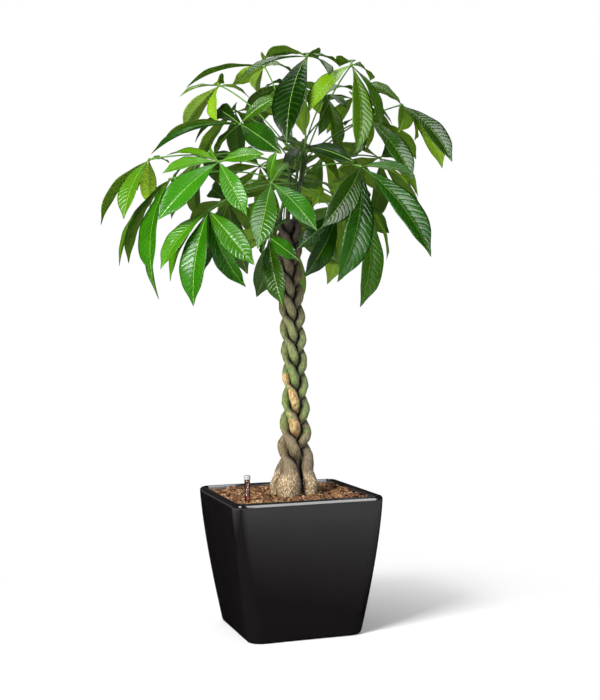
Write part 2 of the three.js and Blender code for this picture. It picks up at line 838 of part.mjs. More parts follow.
// ---------------------------------------------------------------- the whole thing

const finish = (color, roughness, more = {}) =>
  new THREE.MeshStandardMaterial({ color, roughness, metalness: 0, ...more });

const FINISH = {
  planter: finish("#1c1b1c", 0.18),
  liner: finish("#2b2b2b", 0.5),
  granulate: finish("#9a8f80", 0.95),
  soil: finish("#7a4f35", 0.95),
  gaugeTube: finish("#d8dde0", 0.08, { transparent: true, opacity: 0.4 }),
  gaugeCap: finish("#b9bcc0", 0.25),
  gaugeFloat: finish("#8c1c18", 0.4),
  bark: finish("#8b8460", 0.85),
  shoot: finish("#4d5a2e", 0.6),
  leaf: finish("#3f7a28", 0.4),
};

const buildTree = () => {
  const tree = new THREE.Group();
  tree.rotation.z = degToRad(TREE.turnDeg);
  buildTrunks().forEach((solid, index) => tree.add(toMesh(TRUNKS[index].name, solid, FINISH.bark)));
  SHOOTS.forEach((shoot) => tree.add(toMesh(shoot.name, buildShoot(shoot), FINISH.shoot)));
  placeLeaves().forEach((leaf, index) =>
    tree.add(toMesh(`leaf_${leaf.name}`, buildLeaf(leaf, index), FINISH.leaf)),
  );
  return tree;
};

const buildFilledPlanter = () => {
  const holes = TRUNKS.map((_, index) =>
    buildTrunk(index, CLEARANCE).rotate([0, 0, TREE.turnDeg]),
  );
  const filled = new THREE.Group();
  filled.add(
    toMesh("planter", buildPlanter(), FINISH.planter),
    toMesh("liner", buildLiner(), FINISH.liner),
    toMesh("granulate", buildGranulate(), FINISH.granulate),
    toMesh("soil", buildSoil([gaugeShaft(), ...holes]), FINISH.soil),
  );
  return filled;
};

const buildGauge = () => {
  const gauge = new THREE.Group();
  gauge.position.set(GAUGE.x, GAUGE.y, 0);
  gauge.add(
    toMesh("gauge_tube", buildGaugeTube(), FINISH.gaugeTube),
    toMesh("gauge_float", buildGaugeFloat(), FINISH.gaugeFloat),
    toMesh("gauge_cap", buildGaugeCap(), FINISH.gaugeCap),
  );
  return gauge;
};

const moneyTree = new THREE.Group();
moneyTree.add(buildFilledPlanter(), buildGauge(), buildTree());

export default moneyTree;
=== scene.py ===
"""A potted money tree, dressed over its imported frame.

Five plaited trunks bear palmate leaves on long stalks. They stand in bark-topped soil, in a
square tapered planter with a liner and a water gauge. Every size below is in millimetres, in
the part's own frame: +Z is up, the origin is the middle of the planter's underside, and the
planter's walls face X and Y. The tree has a frame of its own, turned about Z.
"""

import logging
import math
from dataclasses import dataclass, field
from enum import Enum

import bpy
import numpy as np
from mathutils import Matrix

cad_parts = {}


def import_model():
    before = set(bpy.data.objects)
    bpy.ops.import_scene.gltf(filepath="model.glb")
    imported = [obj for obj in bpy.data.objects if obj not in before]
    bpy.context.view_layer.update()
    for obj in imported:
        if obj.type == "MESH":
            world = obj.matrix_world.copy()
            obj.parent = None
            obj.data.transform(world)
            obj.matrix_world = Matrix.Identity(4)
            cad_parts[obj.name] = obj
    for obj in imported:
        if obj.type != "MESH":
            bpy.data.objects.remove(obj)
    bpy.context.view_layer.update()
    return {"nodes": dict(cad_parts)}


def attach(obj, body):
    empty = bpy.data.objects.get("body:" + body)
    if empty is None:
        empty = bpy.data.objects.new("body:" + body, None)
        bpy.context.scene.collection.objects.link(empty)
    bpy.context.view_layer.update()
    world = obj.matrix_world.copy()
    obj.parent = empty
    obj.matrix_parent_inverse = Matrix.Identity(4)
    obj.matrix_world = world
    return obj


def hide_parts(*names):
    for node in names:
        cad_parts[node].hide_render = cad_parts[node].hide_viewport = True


LOG = logging.getLogger("money_tree")
MM = 0.001
SAME_PLACE_DECIMALS = 4  # of a millimetre: points that agree this far are merged
LOOK_REACH = 50.0  # distance from the midrib that a blade's blue look value of 1 stands for
PLASTIC_IOR = 1.5
EASED = {"interpolation_type": "SMOOTHSTEP"}  # settings of a node that maps a range
COLOURS = {"data_type": "RGBA"}  # settings of a node that mixes
Array = np.ndarray
Place = tuple[float, float, float]
Material = bpy.types.Material
Node = bpy.types.Node
Piece = bpy.types.Object
Socket = bpy.types.NodeSocket
Tree = bpy.types.NodeTree


# ------------ small mathematics


def lerp(low: Array | float, high: Array | float, share: Array | float) -> Array | float:
    """Returns the value that lies the given share of the way from low to high."""
    return low + (high - low) * share


def smoothstep(start: float, end: float, value: Array | float) -> Array:
    """Eases from 0 at start to 1 at end, by 3t^2 - 2t^3.

    Args:
        start: the value at which the easing begins.
        end: the value at which it ends.
        value: one value or an array of them.

    Returns:
        The eased share for each value.
    """
    t = np.clip((np.asarray(value, float) - start) / (end - start), 0.0, 1.0)
    return t * t * (3.0 - 2.0 * t)


def draw(a: int, b: int) -> float:
    """Returns a repeatable draw from 0 to 1 for two whole numbers: a steep sine's fraction."""
    wave = math.sin(a * 127.1 + b * 311.7) * 43758.5453
    return wave - math.floor(wave)


def unit(vectors: Array) -> Array:
    """Returns each vector divided by its own length."""
    return vectors / np.linalg.norm(vectors, axis=-1, keepdims=True)


def turned_about_z(points: Array, degrees: float) -> Array:
    """Returns the points turned about the Z axis."""
    c, s = math.cos(math.radians(degrees)), math.sin(math.radians(degrees))
    x, y, z = np.moveaxis(np.asarray(points, float), -1, 0)
    return np.stack([x * c - y * s, x * s + y * c, z], axis=-1)


def ripple(points: Array, length: float, seed: int, waves: int = 14) -> Array:
    """Works out a smooth bumpy field: the mean of plane waves that run in many directions.

    Args:
        points: places in millimetres, with the coordinates on the last axis.
        length: the waves' length in millimetres. Each wave's own is 0.7 to 1.4 times that.
        seed: picks the directions and phases.
        waves: how many waves are added.

    Returns:
        The field at each point, mostly from -1 to 1.
    """
    rng = np.random.default_rng(seed)
    ways = unit(rng.normal(size=(waves, 3)))
    ways = ways * (2 * math.pi / (length * rng.uniform(0.7, 1.4, (waves, 1))))
    phases = rng.uniform(0, 2 * math.pi, waves)
    return np.sin(np.asarray(points) @ ways.T + phases).sum(axis=-1) / math.sqrt(waves / 2) * 0.7


@dataclass(frozen=True)
class Ripple:
    """One bumpy field: its height and length in millimetres, and the seed of its waves."""

    height: float
    length: float
    seed: int

    def over(self, points: Array, number: int = 0) -> Array:
        """Returns the field at the points; each number gives a piece waves of its own."""
        return self.height * ripple(points, self.length, self.seed + number)


def bezier(controls: list[Array], t: Array) -> Array:
    """Works out points on a Bezier curve by repeated lerps between its control points.

    Args:
        controls: the control points.
        t: the shares along the curve.

    Returns:
        One point for each share.
    """
    share = np.asarray(t, float)[:, None]
    rows = [np.broadcast_to(np.asarray(c, float), (len(share), 3)) for c in controls]
    while len(rows) > 1:
        rows = [a + (b - a) * share for a, b in zip(rows, rows[1:])]
    return rows[0]


# ------------ skins


class Skin:
    """The faces of one piece, gathered from surfaces that are each worked out as arrays."""

    def __init__(self) -> None:
        """Starts an empty skin."""
        self.points: list[Array] = []
        self.maps: list[Array] = []
        self.looks: list[Array] = []
        self.quads: list[Array] = []
        self.slots: list[Array] = []
        self.count = 0

    def add(
        self,
        points: Array,
        uv: Array | None = None,
        look: Array | tuple[float, float, float] = (0.0, 0.0, 0.0),
        slot: Array | int = 0,
        capped: bool = True,
    ) -> None:
        """Adds a grid of points as a surface of quads that faces out.

        Each row is a ring, so the last column is joined to the first.

        Args:
            points: the grid, shaped (rows, columns, 3), or several such grids, in millimetres.
            uv: a pattern's place for each point, shaped (rows, columns, 2).
            look: three values for the finish, for the whole surface or for each point.
            slot: the material's index, for the whole surface or for each column of faces.
            capped: closes each end with a row of points at that end's middle.
        """
        grid = np.asarray(points, float)
        grid = grid.reshape(-1, *grid.shape[-3:])
        count, rows, columns = grid.shape[:3]
        places = 0.0 if uv is None else np.asarray(uv, float)
        maps = np.broadcast_to(places, (count, rows, columns, 2))
        looks = np.broadcast_to(np.asarray(look, float), (count, rows, columns, 3))
        if capped:
            middles = [grid[:, row].mean(axis=1)[:, None, None] for row in (0, -1)]
            first, last = (np.broadcast_to(m, (count, 1, columns, 3)) for m in middles)
            grid = np.concatenate([first, grid, last], axis=1)
            maps = np.concatenate([maps[:, :1], maps, maps[:, -1:]], axis=1)
            looks = np.concatenate([looks[:, :1], looks, looks[:, -1:]], axis=1)
            rows += 2
        index = np.arange(rows * columns).reshape(rows, columns)
        index = np.concatenate([index, index[:, :1]], axis=1)
        quads = [index[:-1, :-1], index[:-1, 1:], index[1:, 1:], index[1:, :-1]]
        quads = np.stack(quads, axis=-1)
        slots = np.broadcast_to(np.asarray(slot), quads.shape[:2]).reshape(-1)
        quads = quads.reshape(-1, 4)
        if self.volume(grid[0].reshape(-1, 3), quads) < 0:
            quads = quads[:, ::-1]
        starts = self.count + np.arange(count) * rows * columns
        self.points.append(grid.reshape(-1, 3))
        self.maps.append(maps.reshape(-1, 2))
        self.looks.append(looks.reshape(-1, 3))
        self.quads.append((quads[None] + starts[:, None, None]).reshape(-1, 4))
        self.slots.append(np.tile(slots, count))
        self.count += count * rows * columns

    @staticmethod
    def volume(points: Array, quads: Array) -> float:
        """Works out the volume inside the quads.

        Args:
            points: the surface's points.
            quads: four point numbers for each face.

        Returns:
            The sum of the tetrahedra from the points' middle to each half of each face. It is
            below 0 if the faces point inwards.
        """
        a, b, c, d = (points[quads[:, i]] - points.mean(axis=0) for i in range(4))
        halves = np.einsum("ij,ij->i", a, np.cross(b, c)) + np.einsum("ij,ij->i", a, np.cross(c, d))
        return float(halves.sum()) / 6.0

    def build(self, name: str, materials: list[Material], smooth: bool = True) -> Piece:
        """Makes the Blender object. Points that share a place are merged, and empty faces left out.

        Args:
            name: the piece's name.
            materials: its materials, in the order of the slots.
            smooth: shades the faces smoothly.

        Returns:
            The object, at the origin, with its place in its mesh.
        """
        points = np.concatenate(self.points)
        quads = np.concatenate(self.quads)
        keys = np.round(points, SAME_PLACE_DECIMALS)
        _, first, merged = np.unique(keys, axis=0, return_index=True, return_inverse=True)
        joined = merged.reshape(-1)[quads]
        kept = joined != np.roll(joined, -1, axis=1)
        totals = kept.sum(axis=1)
        whole = totals >= 3
        corners = joined[whole][kept[whole]]
        sources = quads[whole][kept[whole]]
        totals = totals[whole]
        starts = np.concatenate([[0], np.cumsum(totals)[:-1]])

        mesh = bpy.data.meshes.new(name)
        mesh.vertices.add(len(first))
        mesh.vertices.foreach_set("co", (points[first] * MM).astype(np.float32).ravel())
        mesh.loops.add(len(corners))
        mesh.loops.foreach_set("vertex_index", corners.astype(np.int32))
        mesh.polygons.add(len(totals))
        mesh.polygons.foreach_set("loop_start", starts.astype(np.int32))
        mesh.polygons.foreach_set("loop_total", totals.astype(np.int32))
        slots = np.concatenate(self.slots)[whole]
        mesh.polygons.foreach_set("material_index", slots.astype(np.int32))
        mesh.polygons.foreach_set("use_smooth", np.full(len(totals), smooth))
        uv_map = mesh.uv_layers.new(name="pattern")
        maps = np.concatenate(self.maps)[sources]
        uv_map.data.foreach_set("uv", maps.astype(np.float32).ravel())
        looks = np.concatenate(self.looks)[first]
        values = np.concatenate([looks, np.ones((len(looks), 1))], axis=1)
        look = mesh.color_attributes.new(name="look", type="FLOAT_COLOR", domain="POINT")
        look.data.foreach_set("color", values.astype(np.float32).ravel())
        mesh.update(calc_edges=True)
        mesh.validate()
        piece = bpy.data.objects.new(name, mesh)
        bpy.context.scene.collection.objects.link(piece)
        for material in materials:
            mesh.materials.append(material)
        LOG.info("%s: %d faces", name, len(mesh.polygons))
        return piece


def tube(line: Array, radii: Array, sides: int, fixed: Array | Place = (1.0, 0.0, 0.0)) -> Array:
    """Carries a circle along a line.

    Each point is the line's own plus the radius times (cos a * first normal + sin a * second).
    The first normal is the one nearest to a fixed direction, so the tube doesn't twist.

    Args:
        line: the middle line's points, shaped (rows, 3).
        radii: the radius at each of them.
        sides: how many points go round.
        fixed: the fixed direction.

    Returns:
        The grid, shaped (rows, sides, 3).
    """
    along = unit(np.gradient(line, axis=0))
    fixed = np.asarray(fixed, float)
    side = unit(fixed - (along @ fixed)[:, None] * along)
    over = np.cross(along, side)
    angle = np.linspace(0, 2 * math.pi, sides, endpoint=False)
    c, s = np.cos(angle)[None, :, None], np.sin(angle)[None, :, None]
    ring = side[:, None] * c + over[:, None] * s
    return line[:, None] + np.asarray(radii, float)[:, None, None] * ring


def turned(outline: list[tuple[float, float]], x: float, y: float, sides: int) -> Array:
    """Turns an outline about an upright axis: x + r cos, y + r sin, z.

    Args:
        outline: the radius and height of each point.
        x: the axis's place.
        y: the axis's place.
        sides: how many points go round.

    Returns:
        The grid, shaped (points, sides, 3).
    """
    radius, height = np.array(outline, float).T
    angle = np.linspace(0, 2 * math.pi, sides, endpoint=False)
    return np.stack(
        [
            x + radius[:, None] * np.cos(angle),
            y + radius[:, None] * np.sin(angle),
            np.broadcast_to(height[:, None], (len(radius), sides)),
        ],
        axis=-1,
    )


# ------------ finishes


def linear(colour: str) -> tuple[float, float, float, float]:
    """Turns an sRGB hex colour into linear light, by the sRGB curve, with an alpha of 1."""
    parts = [int(colour[i : i + 2], 16) / 255 for i in (1, 3, 5)]
    r, g, b = [p / 12.92 if p <= 0.04045 else ((p + 0.055) / 1.055) ** 2.4 for p in parts]
    return r, g, b, 1.0


def feed(tree: Tree, node: Node, inputs: dict[int | str, object]) -> None:
    """Sets a node's inputs.

    Args:
        tree: the material's nodes.
        node: the node.
        inputs: for each input, by name or number: a value, another node's output, or another
            node for its first output.
    """
    for key, value in inputs.items():
        if isinstance(value, Node):
            value = value.outputs[0]
        if isinstance(value, Socket):
            tree.links.new(value, node.inputs[key])
        else:
            node.inputs[key].default_value = value


def add(
    tree: Tree,
    kind: str,
    inputs: dict[int | str, object] | None = None,
    stops: list[tuple[float, str]] | None = None,
    **settings: object,
) -> Node:
    """Adds a node to a material.

    Args:
        tree: the material's nodes.
        kind: the node's type, without its ShaderNode prefix.
        inputs: what feeds its inputs, as in feed().
        stops: the places and sRGB colours of a colour ramp.
        **settings: the node's own settings.

    Returns:
        The node.
    """
    node = tree.nodes.new("ShaderNode" + kind)
    for name, value in settings.items():
        setattr(node, name, value)
    feed(tree, node, inputs or {})
    if stops:
        ramp = node.color_ramp.elements
        while len(ramp) < len(stops):
            ramp.new(0.5)
        for element, (place, colour) in zip(ramp, stops):
            element.position = place
            element.color = linear(colour)
    return node


def new_material(name: str) -> tuple[Material, Tree, Node]:
    """Makes a material with its one shader.

    Args:
        name: the real material and how it was made.

    Returns:
        The material, its nodes and its shader.
    """
    material = bpy.data.materials.new(name)
    material.use_nodes = True
    return material, material.node_tree, material.node_tree.nodes["Principled BSDF"]


def between(start: float, end: float) -> dict[str, float]:
    """Returns the inputs of a node that maps a range, for a range from start to end."""
    return {"From Min": start, "From Max": end}


def look_values(tree: Tree) -> tuple[Socket, Socket, Socket]:
    """Reads the three look values that a piece's points carry.

    Args:
        tree: the material's nodes.

    Returns:
        The red, green and blue value.
    """
    look = add(tree, "Attribute", attribute_name="look").outputs["Color"]
    return tuple(add(tree, "SeparateColor", {0: look}).outputs)


def per_metre(millimetres: float) -> float:
    """Returns a noise scale whose pattern repeats about every so many millimetres."""
    return 1.0 / (millimetres * MM)


@dataclass(frozen=True)
class LacqueredPlastic:
    """Polypropylene, moulded and lacquered to a high gloss: deep black, with mirror-like lights."""

    name: str = "polypropylene_moulded_black_gloss_lacquer"
    colour: str = "#110f10"
    worn: str = "#151314"
    roughness: float = 0.08
    smear: float = 0.13  # roughness where it was wiped
    smear_size: float = 60.0
    smear_range: tuple[float, float] = (0.45, 0.7)  # noise between which the wiping sets in
    orange_peel: float = 24.0  # length of the lacquer's faint waves
    peel_height: float = 0.003
    mirror: float = 0.34  # specular level: a little under a new one's 0.5

    def material(self) -> Material:
        """Builds the material: faint waves bend its reflections, and wiped places are duller.

        Returns:
            The material.
        """
        material, tree, shader = new_material(self.name)
        place = add(tree, "TexCoord").outputs["Object"]
        smears = add(
            tree, "TexNoise", {"Vector": place, "Scale": per_metre(self.smear_size), "Detail": 4.0}
        )
        waves = add(
            tree, "TexNoise", {"Vector": place, "Scale": per_metre(self.orange_peel), "Detail": 1.0}
        )
        wiped = add(
            tree,
            "MapRange",
            {
                "Value": smears,
                **between(*self.smear_range),
                "To Min": self.roughness,
                "To Max": self.smear,
            },
            **EASED,
        )
        colour = add(
            tree, "Mix", {0: smears, 6: linear(self.colour), 7: linear(self.worn)}, **COLOURS
        ).outputs[2]
        height = self.peel_height * MM
        bump = add(tree, "Bump", {"Height": waves, "Distance": height, "Strength": 1.0})
        feed(tree, shader, {"Base Color": colour, "Roughness": wiped, "Normal": bump})
        feed(tree, shader, {"IOR": PLASTIC_IOR, "Specular IOR Level": self.mirror})
        return material


@dataclass(frozen=True)
class MouldedPlastic:
    """Plain moulded plastic with a fine spark-eroded grain, so it is satin and slightly mottled."""

    name: str
    colour: str
    roughness: float = 0.42
    grain: float = 1.6  # drawn coarser than the real 0.3 mm, so that it shows
    grain_height: float = 0.05
    lightness: float = 1.35  # of its paler mottling

    def material(self) -> Material:
        """Builds the material: noise gives a fine grain and faint mottling.

        Returns:
            The material.
        """
        material, tree, shader = new_material(self.name)
        place = add(tree, "TexCoord").outputs["Object"]
        grain = add(
            tree, "TexNoise", {"Vector": place, "Scale": per_metre(self.grain), "Detail": 2.0}
        )
        base = linear(self.colour)
        pale = tuple(min(1.0, part * self.lightness) for part in base[:3]) + (1.0,)
        colour = add(tree, "Mix", {0: grain, 6: base, 7: pale}, **COLOURS).outputs[2]
        height = self.grain_height * MM
        bump = add(tree, "Bump", {"Height": grain, "Distance": height, "Strength": 0.8})
        feed(tree, shader, {"Base Color": colour, "Normal": bump})
        feed(tree, shader, {"Roughness": self.roughness, "IOR": PLASTIC_IOR})
        return material


@dataclass(frozen=True)
class ClearTube:
    """Clear acrylic, extruded as a thin tube: bright along its edges, with faint draw lines."""

    name: str = "acrylic_extruded_clear"
    colour: str = "#f4eeee"
    roughness: float = 0.04
    dulled: float = 0.16  # roughness in a draw line
    line_spacing: float = 1.5
    line_squash: float = 0.02  # upright scale of the noise, which makes lines of it
    ior: float = 1.2  # a thin wall bends light less than a solid bar

    def material(self) -> Material:
        """Builds the material: noise stretched along the tube roughens it in fine upright lines.

        Returns:
            The material.
        """
        material, tree, shader = new_material(self.name)
        place = add(tree, "TexCoord").outputs["Object"]
        squash = (1.0, 1.0, self.line_squash)
        stretched = add(tree, "Mapping", {"Vector": place, "Scale": squash})
        spacing = per_metre(self.line_spacing)
        lines = add(tree, "TexNoise", {"Vector": stretched, "Scale": spacing, "Detail": 1.0})
        rough = add(
            tree, "MapRange", {"Value": lines, "To Min": self.roughness, "To Max": self.dulled}
        )
        feed(tree, shader, {"Roughness": rough, "Base Color": linear(self.colour)})
        feed(tree, shader, {"Transmission Weight": 1.0, "IOR": self.ior})
        return material


class Side(Enum):
    """Which side of a leaf a finish is for."""

    UPPER = "upper"
    LOWER = "lower"


@dataclass(frozen=True)
class LeafSkin:
    """A leaf's living skin: waxy above and dull below, quilted between its side veins.

    The veins are sunk and pale above, and stand up below. Light shines through the blade a
    little, so a leaf seen against the light is yellower. Its red look value gives how light a
    place is: partly the leaf's own green, partly painted light and shade. Its green one gives how
    fresh it is: a young leaf's own yellow-green, and painted light shining through the blade. Its
    blue one gives how far from the midrib.
    """

    side: Side
    dark: str
    light: str
    fresh: str  # painted light shining through the blade, and a young leaf's own yellow-green
    vein: str
    roughness: float
    gloss: float = 0.28
    through: float = 0.25  # share of the light that goes on into the blade
    through_colour: str = "#83c308"
    vein_pairs: float = 17.0
    slant: float = 1.9  # how many vein spacings a side vein climbs from the midrib to the edge
    bend: float = 1.3  # power of its climb
    wander_size: float = 28.0  # length over which the veins' spacing varies
    vein_edges: tuple[float, float] = (0.4, 0.495)  # from a quilt's middle, in vein spacings
    vein_ends: tuple[float, float] = (0.97, 0.7)  # share of the half width where veins fade
    quilt_edges: tuple[float, float] = (0.5, 0.2)  # from a quilt's middle, in vein spacings
    quilt_height: float = 0.6
    midrib: float = 0.75  # half width
    midrib_height: float = 0.6  # as a share of the quilting's
    vein_pallor: float = 0.1  # how pale the side veins are, beside the midrib
    blotch_size: float = 45.0
    blotch: float = 0.5  # how far the blotches lighten and darken it
    dulling: float = 0.08  # how far they change its roughness
    pore_size: float = 2.2  # drawn coarser than the real 0.05 mm, so that it shows
    pore_height: float = 0.04  # as a share of the quilting's

    def veins(self, tree: Tree) -> tuple[Node, Node, Node]:
        """Draws the veins from the blade's own map, which runs from root to tip and edge to edge.

        A side vein lies wherever pairs * along - slant * out^bend is a whole number, so it
        leaves the midrib steeply and bends towards the tip. Noise shifts it a little.

        Args:
            tree: the material's nodes.

        Returns:
            Nodes for the side veins' strength, the midrib's strength and the quilting's height.
        """
        uv = add(tree, "UVMap", uv_map="pattern")
        parts = add(tree, "SeparateXYZ", {0: uv})
        centred = add(tree, "Math", {0: parts.outputs[1], 1: 0.5}, operation="SUBTRACT")
        half = add(tree, "Math", {0: centred}, operation="ABSOLUTE")
        out = add(tree, "Math", {0: half, 1: 2.0}, operation="MULTIPLY")
        bent = add(tree, "Math", {0: out, 1: self.bend}, operation="POWER")
        climb = add(tree, "Math", {0: bent, 1: self.slant}, operation="MULTIPLY")
        along = add(tree, "Math", {0: parts.outputs[0], 1: self.vein_pairs}, operation="MULTIPLY")
        place = add(tree, "TexCoord").outputs["Object"]
        wander = add(
            tree, "TexNoise", {"Vector": place, "Scale": per_metre(self.wander_size), "Detail": 1.0}
        )
        shifted = add(tree, "Math", {0: along, 1: wander}, operation="ADD")
        order = add(tree, "Math", {0: shifted, 1: climb}, operation="SUBTRACT")
        part = add(tree, "Math", {0: order}, operation="FRACT")
        centred = add(tree, "Math", {0: part, 1: 0.5}, operation="SUBTRACT")
        gap = add(tree, "Math", {0: centred}, operation="ABSOLUTE")
        line = add(tree, "MapRange", {"Value": gap, **between(*self.vein_edges)}, **EASED)
        inside = add(tree, "MapRange", {"Value": out, **between(*self.vein_ends)}, **EASED)
        side_vein = add(tree, "Math", {0: line, 1: inside}, operation="MULTIPLY")
        reach = look_values(tree)[2]
        edge = self.midrib / LOOK_REACH
        rib = add(tree, "MapRange", {"Value": reach, **between(edge, edge / 2)}, **EASED)
        dome = add(tree, "MapRange", {"Value": gap, **between(*self.quilt_edges)}, **EASED)
        return side_vein, rib, dome

    def material(self) -> Material:
        """Builds the material: blotched green, pale veins, quilting, and light that shines through.

        Returns:
            The material.
        """
        material, tree, shader = new_material("leaf_skin_" + self.side.value)
        side_vein, rib, dome = self.veins(tree)
        place = add(tree, "TexCoord").outputs["Object"]
        lightness, fresh, _ = look_values(tree)
        blotch = add(
            tree, "TexNoise", {"Vector": place, "Scale": per_metre(self.blotch_size), "Detail": 3.0}
        )
        pores = add(
            tree, "TexNoise", {"Vector": place, "Scale": per_metre(self.pore_size), "Detail": 2.0}
        )
        shade = add(
            tree, "Math", {0: blotch, 1: self.blotch, 2: -self.blotch / 2}, operation="MULTIPLY_ADD"
        )
        # The look's red value adds painted light and shade, leaf by leaf, to the blotching.
        shade = add(tree, "Math", {0: shade, 1: lightness}, operation="ADD", use_clamp=True)
        green = add(
            tree, "Mix", {0: shade, 6: linear(self.dark), 7: linear(self.light)}, **COLOURS
        ).outputs[2]
        # The look's green value paints light shining through, and youth, as yellow-green.
        green = add(tree, "Mix", {0: fresh, 6: green, 7: linear(self.fresh)}, **COLOURS).outputs[2]
        pale = add(tree, "Math", {0: side_vein, 1: self.vein_pallor}, operation="MULTIPLY")
        pale = add(tree, "Math", {0: pale, 1: rib}, operation="MAXIMUM")
        colour = add(tree, "Mix", {0: pale, 6: green, 7: linear(self.vein)}, **COLOURS).outputs[2]
        sign = 1.0 if self.side is Side.UPPER else -1.0
        ridge = add(tree, "Math", {0: rib, 1: sign * self.midrib_height}, operation="MULTIPLY")
        fine = add(
            tree, "Math", {0: pores, 1: self.pore_height, 2: ridge}, operation="MULTIPLY_ADD"
        )
        height = add(tree, "Math", {0: dome, 1: sign, 2: fine}, operation="MULTIPLY_ADD")
        depth = self.quilt_height * MM
        bump = add(tree, "Bump", {"Height": height, "Distance": depth, "Strength": 1.0})
        smoothest, dullest = self.roughness - self.dulling, self.roughness + self.dulling
        rough = add(tree, "MapRange", {"Value": blotch, "To Min": smoothest, "To Max": dullest})
        feed(tree, shader, {"Base Color": colour, "Roughness": rough, "Normal": bump})
        feed(tree, shader, {"Specular IOR Level": self.gloss})
        through = add(tree, "BsdfTranslucent", {"Color": linear(self.through_colour)})
        mix = add(tree, "MixShader", {0: self.through, 1: shader, 2: through})
        feed(tree, tree.nodes["Material Output"], {"Surface": mix})
        return material


@dataclass(frozen=True)
class GreenStem:
    """A young stem's green skin: satin, mottled, and browner at its foot.

    Its red look value gives how brown a place is.
    """

    name: str
    green: str
    brown: str
    roughness: float = 0.45
    gloss: float = 0.25
    mottle_size: float = 3.0
    mottle_height: float = 0.25
    mottle: float = 0.5  # how far the mottling moves it between green and brown

    def material(self) -> Material:
        """Builds the material: the look value gives the browning, and noise mottles it.

        Returns:
            The material.
        """
        material, tree, shader = new_material(self.name)
        place = add(tree, "TexCoord").outputs["Object"]
        age = look_values(tree)[0]
        mottle = add(
            tree, "TexNoise", {"Vector": place, "Scale": per_metre(self.mottle_size), "Detail": 3.0}
        )
        mixed = add(
            tree, "Math", {0: mottle, 1: self.mottle, 2: -self.mottle / 2}, operation="MULTIPLY_ADD"
        )
        mixed = add(tree, "Math", {0: mixed, 1: age}, operation="ADD", use_clamp=True)
        colour = add(
            tree, "Mix", {0: mixed, 6: linear(self.green), 7: linear(self.brown)}, **COLOURS
        ).outputs[2]
        height = self.mottle_height * MM
        bump = add(tree, "Bump", {"Height": mottle, "Distance": height, "Strength": 0.8})
        feed(tree, shader, {"Base Color": colour, "Normal": bump})
        feed(tree, shader, {"Roughness": self.roughness, "Specular IOR Level": self.gloss})
        return material


